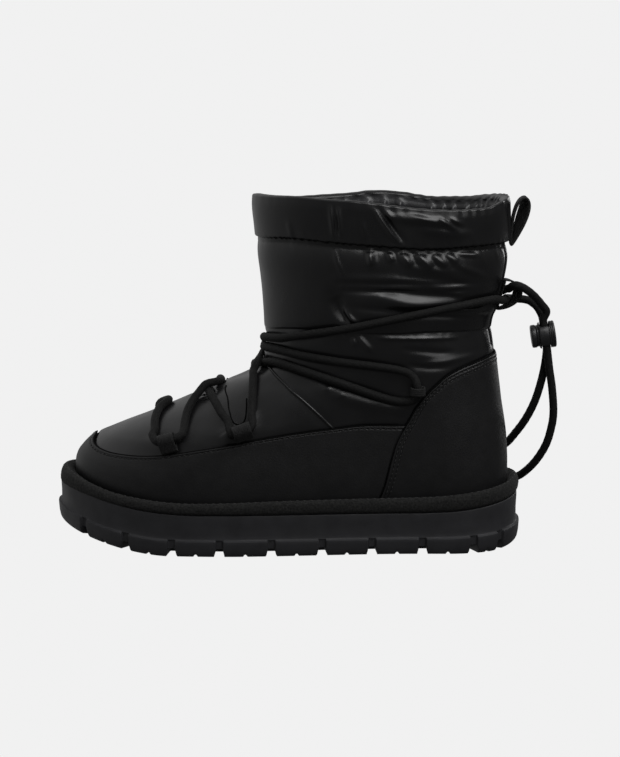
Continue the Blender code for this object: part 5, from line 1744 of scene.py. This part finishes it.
# Floor and backdrop, pale and even, kept out of the boot's reflections
STAGE_R = 30
STAGE_DOWN = 0.0002
STAGE_BRIGHT = 0.879
pale = bpy.data.materials.new("pale_floor")
pale.use_nodes = True
pale_shader = pale.node_tree.nodes["Principled BSDF"]
pale_shader.inputs["Base Color"].default_value = (0, 0, 0, 1)
pale_shader.inputs["Roughness"].default_value = 0.95
pale_shader.inputs["Specular IOR Level"].default_value = 0.0
pale_shader.inputs["Emission Color"].default_value = (1, 1, 1, 1)
pale_shader.inputs["Emission Strength"].default_value = STAGE_BRIGHT
STAGE = (
    ("floor", bmesh.ops.create_circle, {"cap_ends": True, "segments": 96}),
    ("backdrop", bmesh.ops.create_uvsphere, {"u_segments": 48, "v_segments": 24}),
)
for name, shape, parts in STAGE:
    bm = bmesh.new()
    shape(bm, radius=STAGE_R, **parts)
    mesh = bpy.data.meshes.new(name)
    bm.to_mesh(mesh)
    bm.free()
    mesh.materials.append(pale)
    item = bpy.data.objects.new(name, mesh)
    item.location.z = -STAGE_DOWN
    item.visible_glossy = False
    item.visible_diffuse = False
    item.visible_shadow = False
    bpy.context.scene.collection.objects.link(item)

# Soft light: a box overhead, one from behind, a weak fill, and a surround darkest at the lower right front
LAMP_COLUMNS = ("name", "place", "size", "watts")
LAMPS = (
    ("top", (0.65, -0.62, 1.36), (1.5, 0.75), 14.5),
    ("edge", (0.95, 1.25, 0.45), (0.6, 0.9), 4.0),
    ("fill", (0.80, -1.30, 0.85), (0.9, 0.6), 2.3),
)
LAMP_AIM = Vector((0.0, 0.0, 0.09))
SURROUND_UP = Vector((-0.75, 0.45, 0.50))
SURROUND = ((0.00, 0.077), (0.45, 0.116), (0.65, 0.22), (0.80, 0.36), (0.92, 0.55), (1.00, 0.80))
for row in rows_of(LAMP_COLUMNS, LAMPS):
    light = bpy.data.lights.new(row["name"], "AREA")
    light.shape = "RECTANGLE"
    light.size, light.size_y = row["size"]
    light.energy = row["watts"]
    lamp = bpy.data.objects.new(row["name"], light)
    lamp.location = row["place"]
    lamp.rotation_euler = (LAMP_AIM - Vector(row["place"])).to_track_quat("-Z", "Y").to_euler()
    lamp.visible_camera = False
    bpy.context.scene.collection.objects.link(lamp)
world = bpy.data.worlds.new("studio")
world.use_nodes = True
tree = world.node_tree
way = tree.nodes.new("ShaderNodeTexCoord")
turned = tree.nodes.new("ShaderNodeMapping")
# The gradient runs from 0 against SURROUND_UP to 1 along it
turned.inputs["Location"].default_value = (0.5, 0, 0)
turned.inputs["Rotation"].default_value = SURROUND_UP.rotation_difference(Vector((1, 0, 0))).to_euler()
turned.inputs["Scale"].default_value = (0.5, 0.5, 0.5)
ramp_in = tree.nodes.new("ShaderNodeTexGradient")
ramp = tree.nodes.new("ShaderNodeValToRGB")
ramp.color_ramp.interpolation = "B_SPLINE"
while len(ramp.color_ramp.elements) < len(SURROUND):
    ramp.color_ramp.elements.new(0.5)
for element, (at, bright) in zip(ramp.color_ramp.elements, SURROUND):
    element.position = at
    element.color = (bright, bright, bright, 1)
tree.links.new(way.outputs["Generated"], turned.inputs["Vector"])
tree.links.new(turned.outputs["Vector"], ramp_in.inputs["Vector"])
tree.links.new(ramp_in.outputs["Fac"], ramp.inputs["Fac"])
tree.links.new(ramp.outputs["Color"], tree.nodes["Background"].inputs["Color"])
bpy.context.scene.world = world
bpy.context.scene.view_settings.view_transform = "Standard"
